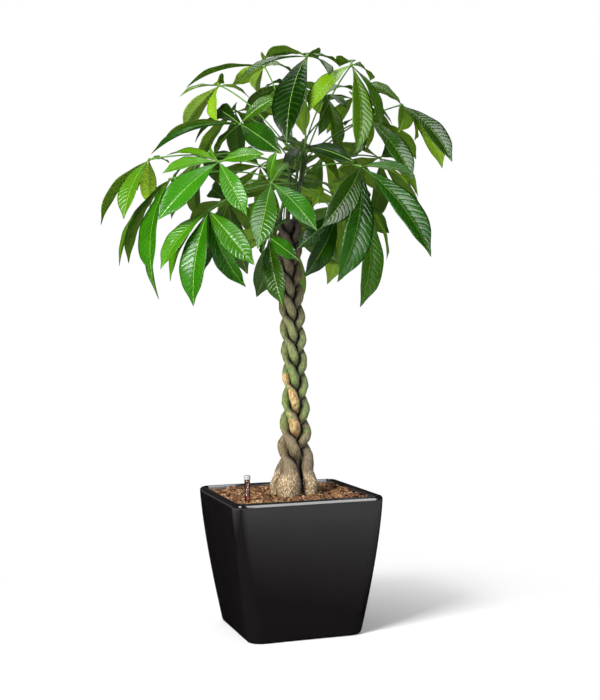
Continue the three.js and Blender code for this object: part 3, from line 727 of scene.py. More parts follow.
@dataclass(frozen=True)
class TrunkBark:
    """Thin living bark: olive where it is young, brown-grey below, and pitted cork at the foot.

    Its red look value gives how much painted shade a place gets, near other trunks and under the
    leaves; its green one how corky it is, and its blue one how far the outer bark has peeled to
    the tan layer under it.
    """

    name: str = "money_tree_bark"
    # painted shade: the colour that the bark darkens to near other trunks and under the leaves
    crevice_shade: str = "#120d08"
    cork: str = "#cdba98"
    cork_pit: str = "#8c7251"
    tan: str = "#c2a574"
    tan_spot: str = "#96622f"
    streak_dark: str = "#272419"
    zones: tuple[tuple[float, str], ...] = (
        (0.0, "#80705a"),
        (0.12, "#78684f"),
        (0.24, "#786b4b"),
        (0.3, "#6d7a3e"),
        (0.45, "#6a7b40"),
        (0.6, "#767a4b"),
        # These last stops darken the trunks' tops under the leaves: partly the bark's own browner
        # colour, partly painted shade.
        (0.74, "#6e6748"),
        (0.87, "#5e4e38"),
        (1.0, "#453728"),
    )
    zones_from: float = 300.0  # the heights between which the zones follow each other
    zones_to: float = 1000.0
    zone_wander: float = 220.0  # how far up and down their edges stray
    mottle_size: float = 22.0
    streak_width: float = 3.5
    streak_squash: float = 0.22  # upright scale of the noise, which makes streaks of it
    streak_shade: float = 0.55
    streak_edges: tuple[float, float] = (0.6, 0.38)
    pit_size: float = 4.0
    pit_squash: float = 0.55
    pit_edges: tuple[float, float] = (0.28, 0.62)
    pit_depth: float = 2.0  # as a share of the streaks' relief
    relief: float = 1.0
    roughness: float = 0.72
    gloss: float = 0.3

    def material(self) -> Material:
        """Builds the material: height picks the bark's colour, noise mottles, pits and streaks it.

        Returns:
            The material.
        """
        material, tree, shader = new_material(self.name)
        place = add(tree, "TexCoord").outputs["Object"]
        deep, corky, peeled = look_values(tree)
        mottle = add(
            tree, "TexNoise", {"Vector": place, "Scale": per_metre(self.mottle_size), "Detail": 4.0}
        )
        squash = (1.0, 1.0, self.streak_squash)
        stretched = add(tree, "Mapping", {"Vector": place, "Scale": squash})
        width = per_metre(self.streak_width)
        streaks = add(tree, "TexNoise", {"Vector": stretched, "Scale": width, "Detail": 4.0})
        squash = (1.0, 1.0, self.pit_squash)
        upright = add(tree, "Mapping", {"Vector": place, "Scale": squash})
        size = per_metre(self.pit_size)
        pits = add(
            tree, "TexVoronoi", {"Vector": upright, "Scale": size, "Randomness": 1.0}, feature="F1"
        ).outputs["Distance"]
        height = add(tree, "SeparateXYZ", {0: place}).outputs[2]
        stray = self.zone_wander * MM
        wander = add(tree, "Math", {0: mottle, 1: stray, 2: -stray / 2}, operation="MULTIPLY_ADD")
        level = add(tree, "Math", {0: height, 1: wander}, operation="ADD")
        heights = between(self.zones_from * MM, self.zones_to * MM)
        share = add(tree, "MapRange", {"Value": level, **heights})
        zones = add(tree, "ValToRGB", {"Fac": share}, stops=list(self.zones))
        dark = add(
            tree, "Mix", {0: self.streak_shade, 6: zones, 7: linear(self.streak_dark)}, **COLOURS
        ).outputs[2]
        streaked = add(tree, "MapRange", {"Value": streaks, **between(*self.streak_edges)}, **EASED)
        bark = add(tree, "Mix", {0: streaked, 6: zones, 7: dark}, **COLOURS).outputs[2]
        tan = add(
            tree, "Mix", {0: streaked, 6: linear(self.tan), 7: linear(self.tan_spot)}, **COLOURS
        ).outputs[2]
        bark = add(tree, "Mix", {0: peeled, 6: bark, 7: tan}, **COLOURS).outputs[2]
        hollow = add(tree, "MapRange", {"Value": pits, **between(*self.pit_edges)}, **EASED)
        cork = add(
            tree, "Mix", {0: hollow, 6: linear(self.cork), 7: linear(self.cork_pit)}, **COLOURS
        ).outputs[2]
        bark = add(tree, "Mix", {0: corky, 6: bark, 7: cork}, **COLOURS).outputs[2]
        # Painted shade: the bark is darkened near other trunks and under the leaves, by the red
        # look value.
        bark = add(tree, "Mix", {0: deep, 6: bark, 7: linear(self.crevice_shade)}, **COLOURS).outputs[2]
        pitted = add(tree, "Math", {0: hollow, 1: corky}, operation="MULTIPLY")
        relief = add(
            tree, "Math", {0: pitted, 1: -self.pit_depth, 2: streaks}, operation="MULTIPLY_ADD"
        )
        bump = add(tree, "Bump", {"Height": relief, "Distance": self.relief * MM, "Strength": 0.9})
        feed(tree, shader, {"Base Color": bark, "Normal": bump})
        feed(tree, shader, {"Roughness": self.roughness, "Specular IOR Level": self.gloss})
        return material


@dataclass(frozen=True)
class LooseFill:
    """Loose bits that fill a pot: each bit is matt, and its red look value picks its colour."""

    name: str
    stops: tuple[tuple[float, str], ...]
    grain: float = 2.5
    grain_height: float = 0.8
    speck: float = 0.4  # how far the grain lightens and darkens a bit
    by_cells: bool = False  # colours it by cells of its own, where it isn't made of separate bits
    cell_size: float = 7.5
    roughness: float = 0.9
    gloss: float = 0.25

    def material(self) -> Material:
        """Builds the material: a ramp of colours for the bits, with a fibrous grain.

        Returns:
            The material.
        """
        material, tree, shader = new_material(self.name)
        place = add(tree, "TexCoord").outputs["Object"]
        tone = look_values(tree)[0]
        grain = add(
            tree, "TexNoise", {"Vector": place, "Scale": per_metre(self.grain), "Detail": 4.0}
        )
        if self.by_cells:
            size = per_metre(self.cell_size)
            cells = add(tree, "TexVoronoi", {"Vector": place, "Scale": size}, feature="F1")
            tone = add(tree, "SeparateColor", {0: cells.outputs["Color"]})
        speck = add(
            tree, "Math", {0: grain, 1: self.speck, 2: -self.speck / 2}, operation="MULTIPLY_ADD"
        )
        mixed = add(tree, "Math", {0: speck, 1: tone}, operation="ADD", use_clamp=True)
        colour = add(tree, "ValToRGB", {"Fac": mixed}, stops=list(self.stops))
        height = self.grain_height * MM
        bump = add(tree, "Bump", {"Height": grain, "Distance": height, "Strength": 1.0})
        feed(tree, shader, {"Base Color": colour, "Normal": bump})
        feed(tree, shader, {"Roughness": self.roughness, "Specular IOR Level": self.gloss})
        return material


# ------------ planter, liner and filling


@dataclass
class Planter:
    """The square planter: a wall that draws in to the foot, with a thick rounded lip."""

    height: float = 330.0
    top_width: float = 364.0
    bottom_width: float = 280.0
    corner_top: float = 28.0
    corner_bottom: float = 34.0
    wall: float = 4.0
    floor: float = 5.0
    lip_width: float = 13.0
    lip_depth: float = 18.0
    lip_round: float = 9.0
    foot_round: float = 8.0
    inner_round: float = 2.0  # on the lip's inner edge
    taper_power: float = 1.4
    corner_steps: int = 14
    side_steps: int = 8
    round_steps: int = 7
    finish: LacqueredPlastic = field(default_factory=LacqueredPlastic)

    def half(self, z: Array) -> Array:
        """Returns half the outer width at z: the rim's less the taper * (1 - z / height)^power."""
        drop = np.maximum(1 - np.asarray(z, float) / self.height, 0.0) ** self.taper_power
        return self.top_width / 2 - (self.top_width - self.bottom_width) / 2 * drop

    def rings(self, profile: list[tuple[float, float]]) -> Array:
        """Carries a profile round the planter's plan, which is a square with round corners.

        Each ring runs anticlockwise: in each corner half - radius plus radius times cos and
        sin, and straight from corner to corner.

        Args:
            profile: a height and an inset from the planter's outside for each ring.

        Returns:
            The grid, shaped (rings, points round, 3).
        """
        z, inset = np.array(profile, float).T
        half = (self.half(z) - inset)[:, None]
        radius = (lerp(self.corner_bottom, self.corner_top, z / self.height) - inset)[:, None]
        radius = np.maximum(radius, 1.0)
        sides = []
        for turn, (sx, sy) in enumerate([(1, 1), (-1, 1), (-1, -1), (1, -1)]):
            angle = (turn + np.linspace(0, 1, self.corner_steps + 1)) * (math.pi / 2)
            x = sx * (half - radius) + radius * np.cos(angle)
            y = sy * (half - radius) + radius * np.sin(angle)
            sides.append(np.stack([x, y], axis=-1))
        plan = []
        for corner, following in zip(sides, sides[1:] + sides[:1]):
            share = np.linspace(0, 1, self.side_steps + 2)[1:-1, None]
            straight = corner[:, -1:] + (following[:, :1] - corner[:, -1:]) * share
            plan += [corner, straight]
        flat = np.concatenate(plan, axis=1)
        heights = np.broadcast_to(z[:, None, None], (*flat.shape[:2], 1))
        return np.concatenate([flat, heights], axis=-1)

    def quarter(
        self, z: float, inset: float, radius: float, start: float, end: float
    ) -> list[tuple[float, float]]:
        """Works out a rounded edge in the profile.

        Args:
            z: the height of the round's centre.
            inset: the inset of its centre.
            radius: its radius.
            start: its first angle in degrees, where 0 points out and 90 up.
            end: its last angle.

        Returns:
            The profile's points.
        """
        angles = np.radians(np.linspace(start, end, self.round_steps))
        return [(z + radius * math.sin(a), inset - radius * math.cos(a)) for a in angles]

    def build(self) -> Piece:
        """Builds the planter's closed skin from its profile, from the foot's middle to the floor's.

        Returns:
            The piece.
        """
        foot, lip, inner = self.foot_round, self.lip_round, self.inner_round
        low = self.height - self.lip_depth
        profile = [
            *self.quarter(foot, foot, foot, -90, 0),
            *[(z, 0.0) for z in np.linspace(foot + 4, self.height - lip - 4, 46)],
            *self.quarter(self.height - lip, lip, lip, 0, 90),
            *self.quarter(self.height - inner, self.lip_width - inner, inner, 90, 180),
            (low + 1, self.lip_width),
            (low, self.lip_width),
            (low - self.lip_width + self.wall, self.wall),
            *[(z, self.wall) for z in np.linspace(low - 12, self.floor + 4, 30)],
            (self.floor, self.wall + 3),
        ]
        skin = Skin()
        skin.add(self.rings(profile))
        piece = skin.build("planter_shell", [self.finish.material()])
        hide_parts("planter")
        return piece


@dataclass
class Liner:
    """The lift-out liner that holds the soil over the water, with a moulded rim and four feet."""

    planter: Planter
    gap: float = 0.7
    top: float = 326.0
    bottom: float = 60.0
    wall: float = 3.0
    foot_size: float = 26.0
    foot_place: float = 96.0  # how far each foot is from the middle, both ways
    foot_gap: float = 0.35  # over the planter's floor
    foot_sides: int = 16
    foot_squareness: float = 0.8  # 0 for a round foot and 1 for a square one
    edge_round: float = 1.2
    finish: MouldedPlastic = field(
        default_factory=lambda: MouldedPlastic("polypropylene_moulded_dark_grey", "#232324", 0.38)
    )

    @property
    def outset(self) -> float:
        """Returns the inset of the liner's outside from the planter's."""
        return self.planter.lip_width + self.gap

    def build(self) -> Piece:
        """Builds the liner: its walls from a profile, and its feet from rings of one plan.

        The plan is a circle divided by max(|cos|, |sin|)^squareness.

        Returns:
            The piece.
        """
        outer, inner = self.outset, self.outset + self.wall
        edge = self.edge_round
        profile = [
            (self.bottom, outer + 2),
            (self.bottom + 2, outer),
            *[(z, outer) for z in np.linspace(self.bottom + 12, self.top - 6, 24)],
            *self.planter.quarter(self.top - edge, outer + edge, edge, 0, 90),
            *self.planter.quarter(self.top - edge, inner - edge, edge, 90, 180),
            *[(z, inner) for z in np.linspace(self.top - 6, self.bottom + self.wall + 4, 24)],
            (self.bottom + self.wall, inner + 2),
        ]
        skin = Skin()
        skin.add(self.planter.rings(profile))
        low = self.planter.floor + self.foot_gap
        angle = (np.arange(self.foot_sides) + 0.5) * (2 * math.pi / self.foot_sides)
        plan = np.stack([np.cos(angle), np.sin(angle)], axis=-1)
        stretch = np.abs(plan).max(axis=-1, keepdims=True) ** self.foot_squareness
        plan = plan / stretch * self.foot_size / 2
        levels = [(low, 0.9), (low + 2, 1.0), (self.bottom - 4, 1.0), (self.bottom + 1, 1.1)]
        for sx, sy in ((-1, -1), (-1, 1), (1, -1), (1, 1)):
            middle = self.foot_place * np.array([sx, sy])
            rows = [np.column_stack([middle + plan * k, np.full(len(plan), z)]) for z, k in levels]
            skin.add(np.stack(rows))
        piece = skin.build("liner_tub", [self.finish.material()])
        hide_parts("liner")
        return piece


@dataclass
class Filling:
    """The soil's lumpy top and the bark chips that lie on it."""

    planter: Planter
    liner: Liner
    top: float = 319.0
    bottom: float = 95.35
    relief: float = 3.5
    wave_x: float = 0.083  # the waves' radians per millimetre
    wave_y: float = 0.074
    bend: float = 0.9  # how far the first waves bend, and how quickly
    bend_rate: float = 0.061
    skew_rate: float = 0.021  # how quickly the second waves lean
    ripples: Ripple = Ripple(1.0, 16.0, 31)
    level_rim: float = 0.93  # outside this share of its width the top is level
    clearance: float = 0.35
    chips: int = 4200
    chip_length: tuple[float, float] = (4.0, 14.0)
    chip_width: tuple[float, float] = (2.0, 6.0)
    chip_thick: tuple[float, float] = (1.2, 3.4)
    chip_shrink: tuple[float, float] = (0.6, 1.0)  # share of its length that a chip keeps
    chip_jitter: float = 0.1  # how far its corners are moved, as a share of its sizes
    chip_tip: float = 0.32  # how far it tips along its length and across, in radians
    chip_lean: float = 0.3
    chip_lift: tuple[float, float] = (0.2, 2.6)  # its middle's height over the soil
    chip_tone: float = 2.2  # how much its colours keep to the ramp's middle
    edge_margin: float = 3.0  # between the chips' middles and the liner
    corner: float = 14.0
    seed: int = 5
    soil: LooseFill = field(
        default_factory=lambda: LooseFill(
            "bark_compost_screened",
            ((0.0, "#24160d"), (0.45, "#463020"), (0.8, "#624530"), (1.0, "#85654a")),
        )
    )
    bark: LooseFill = field(
        default_factory=lambda: LooseFill(
            "pine_bark_chipped",
            (
                (0.0, "#2e1c10"),
                (0.28, "#573620"),
                (0.5, "#7d5433"),
                (0.72, "#99714a"),
                (0.9, "#c3a27a"),
                (1.0, "#dccbab"),
            ),
        )
    )

    @property
    def inset(self) -> float:
        """Returns the inset of the filling's side from the planter's outside."""
        return self.liner.outset + self.liner.wall + self.clearance

    def lump(self, x: Array, y: Array) -> Array:
        """Works out the height of the soil's top over its mean.

        Args:
            x: the places' x.
            y: the places' y.

        Returns:
            relief * sin(x rate * x + bend * sin(bend rate * y)) * cos(y rate * y + skew rate * x),
            plus finer ripples.
        """
        first = np.sin(x * self.wave_x + self.bend * np.sin(y * self.bend_rate))
        second = np.cos(y * self.wave_y + x * self.skew_rate)
        places = np.stack([x, y, np.zeros_like(x)], axis=-1)
        return self.relief * (first * second) + self.ripples.over(places)

    def build_soil(self) -> Piece:
        """Builds the soil: straight sides, and a top of shrinking rings raised by lump().

        Returns:
            The piece.
        """
        heights = np.linspace(self.bottom, self.top, 12)
        sides = self.planter.rings([(z, self.inset) for z in heights])
        rim = sides[-1]
        shares = np.linspace(0.985, 0.02, 44)[:, None, None]
        top = rim[None] * shares
        fade = smoothstep(1.0, self.level_rim, shares[..., 0])
        top[..., 2] = self.top + self.lump(top[..., 0], top[..., 1]) * fade
        skin = Skin()
        skin.add(np.concatenate([sides, top]))
        piece = skin.build("soil_bed", [self.soil.material()])
        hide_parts("soil")
        return piece

    def build_chips(self, kept_clear: list[tuple[float, float, float]]) -> Piece:
        """Scatters bark chips over the soil.

        A chip is three rings of four corners along its length. Each corner is moved by a
        seeded draw, the ends are thinner, and the whole is tipped, turned and set down.

        Args:
            kept_clear: the x, y and radius of each thing that stands in the soil.

        Returns:
            The piece.
        """
        rng = np.random.default_rng(self.seed)
        half = float(self.planter.half(self.top)) - self.inset - self.edge_margin
        spots = rng.uniform(-half, half, (self.chips, 2))
        over = np.maximum(np.abs(spots) - (half - self.corner), 0.0)
        free = np.hypot(over[:, 0], over[:, 1]) < self.corner
        for x, y, radius in kept_clear:
            free &= np.hypot(spots[:, 0] - x, spots[:, 1] - y) > radius
        spots = spots[free]
        count = len(spots)
        length = rng.uniform(*self.chip_length, count) * rng.uniform(*self.chip_shrink, count)
        width = rng.uniform(*self.chip_width, count)
        thick = rng.uniform(*self.chip_thick, count)
        along = np.array([-0.5, 0.05, 0.5])
        end = np.array([0.55, 1.0, 0.6])
        ring = np.array([[-0.5, -0.5], [0.5, -0.5], [0.5, 0.5], [-0.5, 0.5]])
        grid = np.empty((count, 3, 4, 3))
        grid[..., 0] = along[None, :, None] * length[:, None, None]
        grid[..., 1] = ring[None, None, :, 0] * (end[None, :] * width[:, None])[..., None]
        grid[..., 2] = ring[None, None, :, 1] * (end[None, :] * thick[:, None])[..., None]
        jitter = self.chip_jitter * np.stack([length, width, thick], axis=-1)
        grid += rng.normal(size=grid.shape) * jitter[:, None, None]
        tip = rng.normal(0, self.chip_tip, count)
        lean = rng.normal(0, self.chip_lean, count)
        yaw = rng.uniform(0, 2 * math.pi, count)
        turns = np.tile(np.eye(3), (count, 1, 1))
        for angle, (a, b) in ((lean, (1, 2)), (tip, (0, 2)), (yaw, (0, 1))):
            step = np.tile(np.eye(3), (count, 1, 1))
            step[:, a, a] = step[:, b, b] = np.cos(angle)
            step[:, a, b], step[:, b, a] = -np.sin(angle), np.sin(angle)
            turns = step @ turns
        grid = np.einsum("nij,nrcj->nrci", turns, grid)
        grid[..., 0] += spots[:, 0, None, None]
        grid[..., 1] += spots[:, 1, None, None]
        level = self.top + self.lump(spots[:, 0], spots[:, 1])
        level = level + rng.uniform(*self.chip_lift, count)
        grid[..., 2] += level[:, None, None]
        tone = rng.beta(self.chip_tone, self.chip_tone, count)
        look = np.zeros((count, 1, 1, 3))
        look[..., 0] = tone[:, None, None]
        skin = Skin()
        skin.add(grid, look=look)
        piece = skin.build("bark_chips", [self.bark.material()], smooth=False)
        return piece


@dataclass
class WaterGauge:
    """The water gauge: a clear tube with a red rod on a float, under a cap."""

    x: float = -123.0
    y: float = -74.0
    bottom: float = 8.0
    top: float = 378.0
    outer: float = 6.5
    inner: float = 5.0
    float_radius: float = 4.6
    float_length: float = 34.0
    rod_radius: float = 3.1
    rod_top: float = 364.0
    cap_radius: float = 7.8
    cap_height: float = 10.5
    cap_overlap: float = 6.5
    tube_chamfer: float = 0.4
    cap_gap: float = 0.35
    groove: float = 0.5
    dimple: float = 3.0
    sides: int = 40
    tube_finish: ClearTube = field(default_factory=ClearTube)
    rod_finish: MouldedPlastic = field(
        default_factory=lambda: MouldedPlastic(
            "polystyrene_moulded_dark_red", "#4a0d09", 0.22, lightness=1.6
        )
    )
    cap_finish: MouldedPlastic = field(
        default_factory=lambda: MouldedPlastic("polystyrene_moulded_smoke_grey", "#8f8f92", 0.2)
    )

    def build(self) -> list[Piece]:
        """Builds the tube, the float with its rod, and the cap, each turned from its outline.

        Returns:
            The three pieces.
        """
        chamfer = self.tube_chamfer
        tube_outline = [
            (self.inner, self.bottom),
            (self.outer, self.bottom),
            (self.outer, self.top - chamfer),
            (self.outer - chamfer, self.top),
            (self.inner + chamfer, self.top),
            (self.inner, self.top - chamfer),
            (self.inner, self.bottom),
        ]
        shoulder = self.bottom + self.float_length
        rod_outline = [
            (self.float_radius - 1, self.bottom),
            (self.float_radius, self.bottom + 1),
            (self.float_radius, shoulder),
            (self.rod_radius, shoulder + 2),
            (self.rod_radius, self.rod_top - 2),
            (self.rod_radius - 0.6, self.rod_top - 0.6),
            (self.rod_radius - 2, self.rod_top),
        ]
        low = self.top - self.cap_overlap
        high = low + self.cap_height
        bore, roof = self.outer + self.cap_gap, self.top + self.cap_gap
        edge, grooved = self.cap_radius, self.cap_radius - self.groove
        cap_outline = [
            (0.6, roof),
            (bore, roof),
            (bore, low),
            (grooved, low),
            (edge, low + self.groove),
            (edge, low + 3),
            (grooved, low + 3.6),
            (grooved, low + 4.4),
            (edge, low + 5),
            (edge, high - 2),
            (edge - 0.7, high - 0.7),
            (edge - 2, high),
            (self.dimple, high),
            (self.dimple - 0.6, high - 0.8),
        ]
        made = []
        for name, node, outline, finish, capped in (
            ("water_gauge_tube", "gauge_tube", tube_outline, self.tube_finish, False),
            ("water_gauge_rod", "gauge_float", rod_outline, self.rod_finish, True),
            ("water_gauge_cap", "gauge_cap", cap_outline, self.cap_finish, True),
        ):
            skin = Skin()
            skin.add(turned(outline, self.x, self.y, self.sides), capped=capped)
            piece = skin.build(name, [finish.material()])
            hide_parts(node)
            made.append(piece)
        return made


# ------------ plaited trunks


@dataclass(frozen=True)
class TrunkFoot:
    """Where a trunk meets the soil, from the tree's middle line, and its foot's shape.

    fade is how far up the foot's swelling reaches, and loose gives the heights between which
    the trunk leaves the plait for its foot.
    """

    name: str
    x: float
    y: float
    radius: float
    fade: float
    loose: tuple[float, float]


@dataclass
class Plait:
    """Five trunks in a plait.

    Seen from above, a trunk follows a figure of eight: sideways a sine with flat crests, and
    fore and aft a sine twice as quick. Near the soil it leaves the plait for its own foot.
    """

    tree_turn_deg: float = -18.0
    middle_x: float = 15.5
    sway: float = 5.0
    sway_length: float = 700.0
    sway_start: float = 400.0
    turn_deg: float = 36.0
    foot: float = 268.0
    top: float = 985.0
    phase_deg: float = -5.0
    phase_at: float = 400.0
    pitch_low: float = 300.0
    pitch_top: float = 272.0
    reach_low: float = 24.0
    reach_top: float = 16.5
    depth_share: float = 0.92
    linger_share: float = 0.03  # how much longer than in a plain sine a trunk stays at the sides
    wide_low: float = 15.0
    wide_top: float = 12.0
    thick_low: float = 12.5
    thick_top: float = 10.5
    swell_from: float = 600.0
    swell_at: float = 345.0
    buried_share: float = 0.35
    sides: int = 40
    step: float = 2.6
    cork_top: float = 374.0  # the corky foot's upper end
    cork_fade: float = 14.0
    cork_edge: Ripple = Ripple(0.35, 20.0, 40)
    cork_lumps: Ripple = Ripple(0.9, 7.0, 70)
    cork_pits: Ripple = Ripple(0.6, 3.6, 80)
    streaks: Ripple = Ripple(0.45, 9.0, 50)
    streak_squash: float = 0.3  # upright scale of the ripple, which makes streaks of it
    lumps: Ripple = Ripple(0.5, 26.0, 60)
    # Painted shade where the trunks come near each other: dark close in, browner further off.
    crevice_full: float = 1.0  # how near to its neighbour a trunk is fully darkened: painted shade
    crevice_reach: float = 5.0  # how near the painted shade begins
    shade_reach: float = 17.0  # how near the wider painted shade begins, which browns it
    shade: float = 0.68
    crevice_depth: float = 2.6
    crown_shade: float = 0.35  # painted shade at a trunk's top, under the leaves: how far it is browned there
    crown_shade_from: float = 850.0
    peeled: tuple[tuple[int, float, float], ...] = ((2, 512.0, 612.0), (1, 452.0, 512.0))
    peeled_most: float = 0.8
    peeled_edge: Ripple = Ripple(9.0, 17.0, 30)
    peeled_breaks: Ripple = Ripple(0.5, 11.0, 35)
    dome_depth: float = 9.0
    dome_length: float = 9.5  # longer than it is deep, so a trunk's top stays a little flat
    soil_height: float = 320.0
    clear_share: float = 0.95  # share of a foot's radius that the bark chips stay out of
    finish: TrunkBark = field(default_factory=TrunkBark)
    feet: tuple[TrunkFoot, ...] = (
        TrunkFoot("trunk_middle", 12, 1, 13.5, 30, (345, 440)),
        TrunkFoot("trunk_back", 6, 38, 17, 30, (345, 440)),
        TrunkFoot("trunk_right", 41, -8, 16.5, 30, (345, 440)),
        TrunkFoot("trunk_left", -41, 9, 16, 22, (340, 395)),
        TrunkFoot("trunk_front", -12, -27, 28, 40, (345, 440)),
    )

    def middle_line(self, z: Array) -> Array:
        """Returns the x of the tree's middle line at each height: its place plus a slow sine."""
        turns = (z - self.sway_start) / self.sway_length
        return self.middle_x + self.sway * np.sin(2 * math.pi * turns)

    def phase(self, index: int, z: Array) -> Array:
        """Works out how far round the plait a trunk is.

        Args:
            index: which trunk.
            z: the heights.

        Returns:
            The phase in radians: 2 pi * ((phase_at - z) / pitch + index / trunks), from a start.
        """
        share = np.clip((z - self.phase_at) / (self.top - self.phase_at), 0, 1)
        turns = (self.phase_at - z) / lerp(self.pitch_low, self.pitch_top, share)
        return math.radians(self.phase_deg) + 2 * math.pi * (turns + index / len(self.feet))

    def middle(self, index: int, z: Array) -> Array:
        """Works out a trunk's middle line in the tree's frame.

        Args:
            index: which trunk.
            z: the heights.

        Returns:
            One point for each height: the plait's figure of eight, eased to the trunk's foot.
        """
        z = np.asarray(z, float)
        phase = self.phase(index, z)
        reach = lerp(self.reach_low, self.reach_top, smoothstep(self.phase_at, self.swell_from, z))
        linger = self.linger_share
        aside = (np.sin(phase) + linger * np.sin(3 * phase)) / (1 - linger)
        eight = np.stack([reach * aside, reach * self.depth_share * np.sin(2 * phase), z], axis=-1)
        eight = turned_about_z(eight, self.turn_deg)
        start = self.feet[index]
        foot = np.stack([np.full_like(z, start.x), np.full_like(z, start.y), z], axis=-1)
        place = lerp(foot, eight, smoothstep(*start.loose, z)[..., None])
        place[..., 0] += self.middle_line(z)
        return place

    def halves(self, index: int, z: Array) -> tuple[Array, Array]:
        """Works out half a trunk's width and depth at each height.

        Args:
            index: which trunk.
            z: the heights.

        Returns:
            The two arrays: the plait's own sizes, eased to the foot's, whose swelling fades
            upwards as exp(-x^2).
        """
        thin = smoothstep(self.phase_at, self.swell_from, z)
        wide = lerp(self.wide_low, self.wide_top, thin)
        thick = lerp(self.thick_low, self.thick_top, thin)
        foot = self.feet[index]
        radius = foot.radius
        buried = radius * lerp(self.buried_share, 1.0, smoothstep(self.foot, self.swell_at, z))
        swell = np.exp(-(((z - self.swell_at) / foot.fade) ** 2))
        free = lerp(np.minimum(wide, radius), radius, swell)
        own = np.where(z < self.swell_at, buried, free)
        plaited = smoothstep(*foot.loose, z)
        return lerp(own, wide, plaited), lerp(own, thick, plaited)

    def crevice_shade(self, index: int, points: Array, z: Array) -> Array:
        """Works out how near each point is to another trunk, which sets the painted shade there.

        Args:
            index: the trunk that the points are on.
            points: its points, shaped (heights, sides, 3).
            z: the heights.

        Returns:
            From 0 in the open to 1 where another trunk's oval is touched or entered.
        """
        deep = np.zeros(points.shape[:2])
        for other in range(len(self.feet)):
            if other == index:
                continue
            away = turned_about_z(points - self.middle(other, z)[:, None], -self.turn_deg)
            wide, thick = self.halves(other, z)
            oval = np.hypot(away[..., 0] / wide[:, None], away[..., 1] / thick[:, None])
            gap = (oval - 1.0) * wide[:, None]
            # Painted shade: dark where the trunks touch, browner further off.
            near_shade = smoothstep(self.crevice_reach, self.crevice_full, gap)
            shade = self.shade * smoothstep(self.shade_reach, 0, gap)
            deep = np.maximum(deep, np.maximum(near_shade, shade))
        return deep

    def bare_patches(self, index: int, points: Array, middle: Array) -> Array:
        """Works out where a trunk's outer bark has peeled from the tan layer under it.

        Args:
            index: the trunk that the points are on.
            points: its points, shaped (heights, sides, 3).
            middle: its middle line.

        Returns:
            From 0 to 1 for each point: smooth steps in height, on the best side, broken by a
            ripple.
        """
        bare = np.zeros(points.shape[:2])
        facing = -(points - middle[:, None])[..., 1] / self.wide_low
        level = points[..., 2] + self.peeled_edge.over(points, index)
        for trunk, low, high in self.peeled:
            if trunk == index:
                within = smoothstep(low - 6, low + 6, level) * smoothstep(high + 8, high - 8, level)
                broken = smoothstep(-0.1, 0.7, facing + self.peeled_breaks.over(points))
                bare = np.maximum(bare, within * broken * self.peeled_most)
        return bare

    def build_trunk(self, index: int, material: Material) -> Piece:
        """Builds one trunk from level oval rings, with lumps, cork and a rounded top.

        At its top the rings shrink as sqrt(1 - ((height into the dome) / length)^2).

        Args:
            index: which trunk.
            material: the bark.

        Returns:
            The piece.
        """
        z = np.arange(self.foot, self.top, self.step)
        z = np.append(z, self.top)
        middle = self.middle(index, z)
        wide, thick = self.halves(index, z)
        domed = ((z - (self.top - self.dome_depth)) / self.dome_length).clip(0, 1)
        dome = np.sqrt(np.clip(1 - domed**2, 0.02, 1))
        angle = np.linspace(0, 2 * math.pi, self.sides, endpoint=False)
        out = np.stack(
            [
                np.outer(wide * dome, np.cos(angle)),
                np.outer(thick * dome, np.sin(angle)),
                np.zeros((len(z), self.sides)),
            ],
            axis=-1,
        )
        out = turned_about_z(out, self.turn_deg)
        points = middle[:, None] + out
        bare_from, cork_to = self.cork_top + self.cork_fade, self.cork_top - self.cork_fade
        corky = smoothstep(bare_from, cork_to, points[..., 2])
        corky = np.clip(corky + self.cork_edge.over(points, index) * (corky > 0.02), 0, 1)
        squashed = points * np.array([1.0, 1.0, self.streak_squash])
        relief = self.streaks.over(squashed, index) + self.lumps.over(points, index)
        cork = self.cork_lumps.over(points, index) + self.cork_pits.over(points, index)
        relief = relief + corky * cork
        # Painted shade near other trunks, which also sets a carved groove.
        deep = self.crevice_shade(index, points, z) * smoothstep(self.foot, self.swell_at, z)[:, None]
        relief = relief - self.crevice_depth * deep
        points = points + unit(out + 1e-9) * (relief * dome[:, None])[..., None]
        # Painted shade under the leaves: the trunks' tops are browned.
        under_crown = smoothstep(self.crown_shade_from, self.top, z)[:, None] * self.crown_shade
        bare = self.bare_patches(index, points, middle)
        look = np.stack([np.clip(deep + under_crown, 0, 1), corky, bare], axis=-1)
        skin = Skin()
        skin.add(turned_about_z(points, self.tree_turn_deg), look=look)
        name = self.feet[index].name
        piece = skin.build(name + "_bark", [material])
        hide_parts(name)
        return piece

    def build(self) -> list[Piece]:
        """Builds the five trunks.

        Returns:
            The pieces.
        """
        material = self.finish.material()
        return [self.build_trunk(index, material) for index in range(len(self.feet))]

    def kept_clear(self) -> list[tuple[float, float, float]]:
        """Works out what the bark chips stay out of.

        Returns:
            The x, y and radius of each foot at the soil, in the part's frame.
        """
        level = np.array([self.soil_height])
        spots = []
        for index, foot in enumerate(self.feet):
            place = turned_about_z(self.middle(index, level), self.tree_turn_deg)[0]
            spots.append((float(place[0]), float(place[1]), foot.radius * self.clear_share))
        return spots


# ------------ shoots and leaves


@dataclass(frozen=True)
class Shoot:
    """A green shoot that grows from a trunk's top: the trunk's number, and the shoot's tip."""

    name: str
    trunk: int
    tip: Place


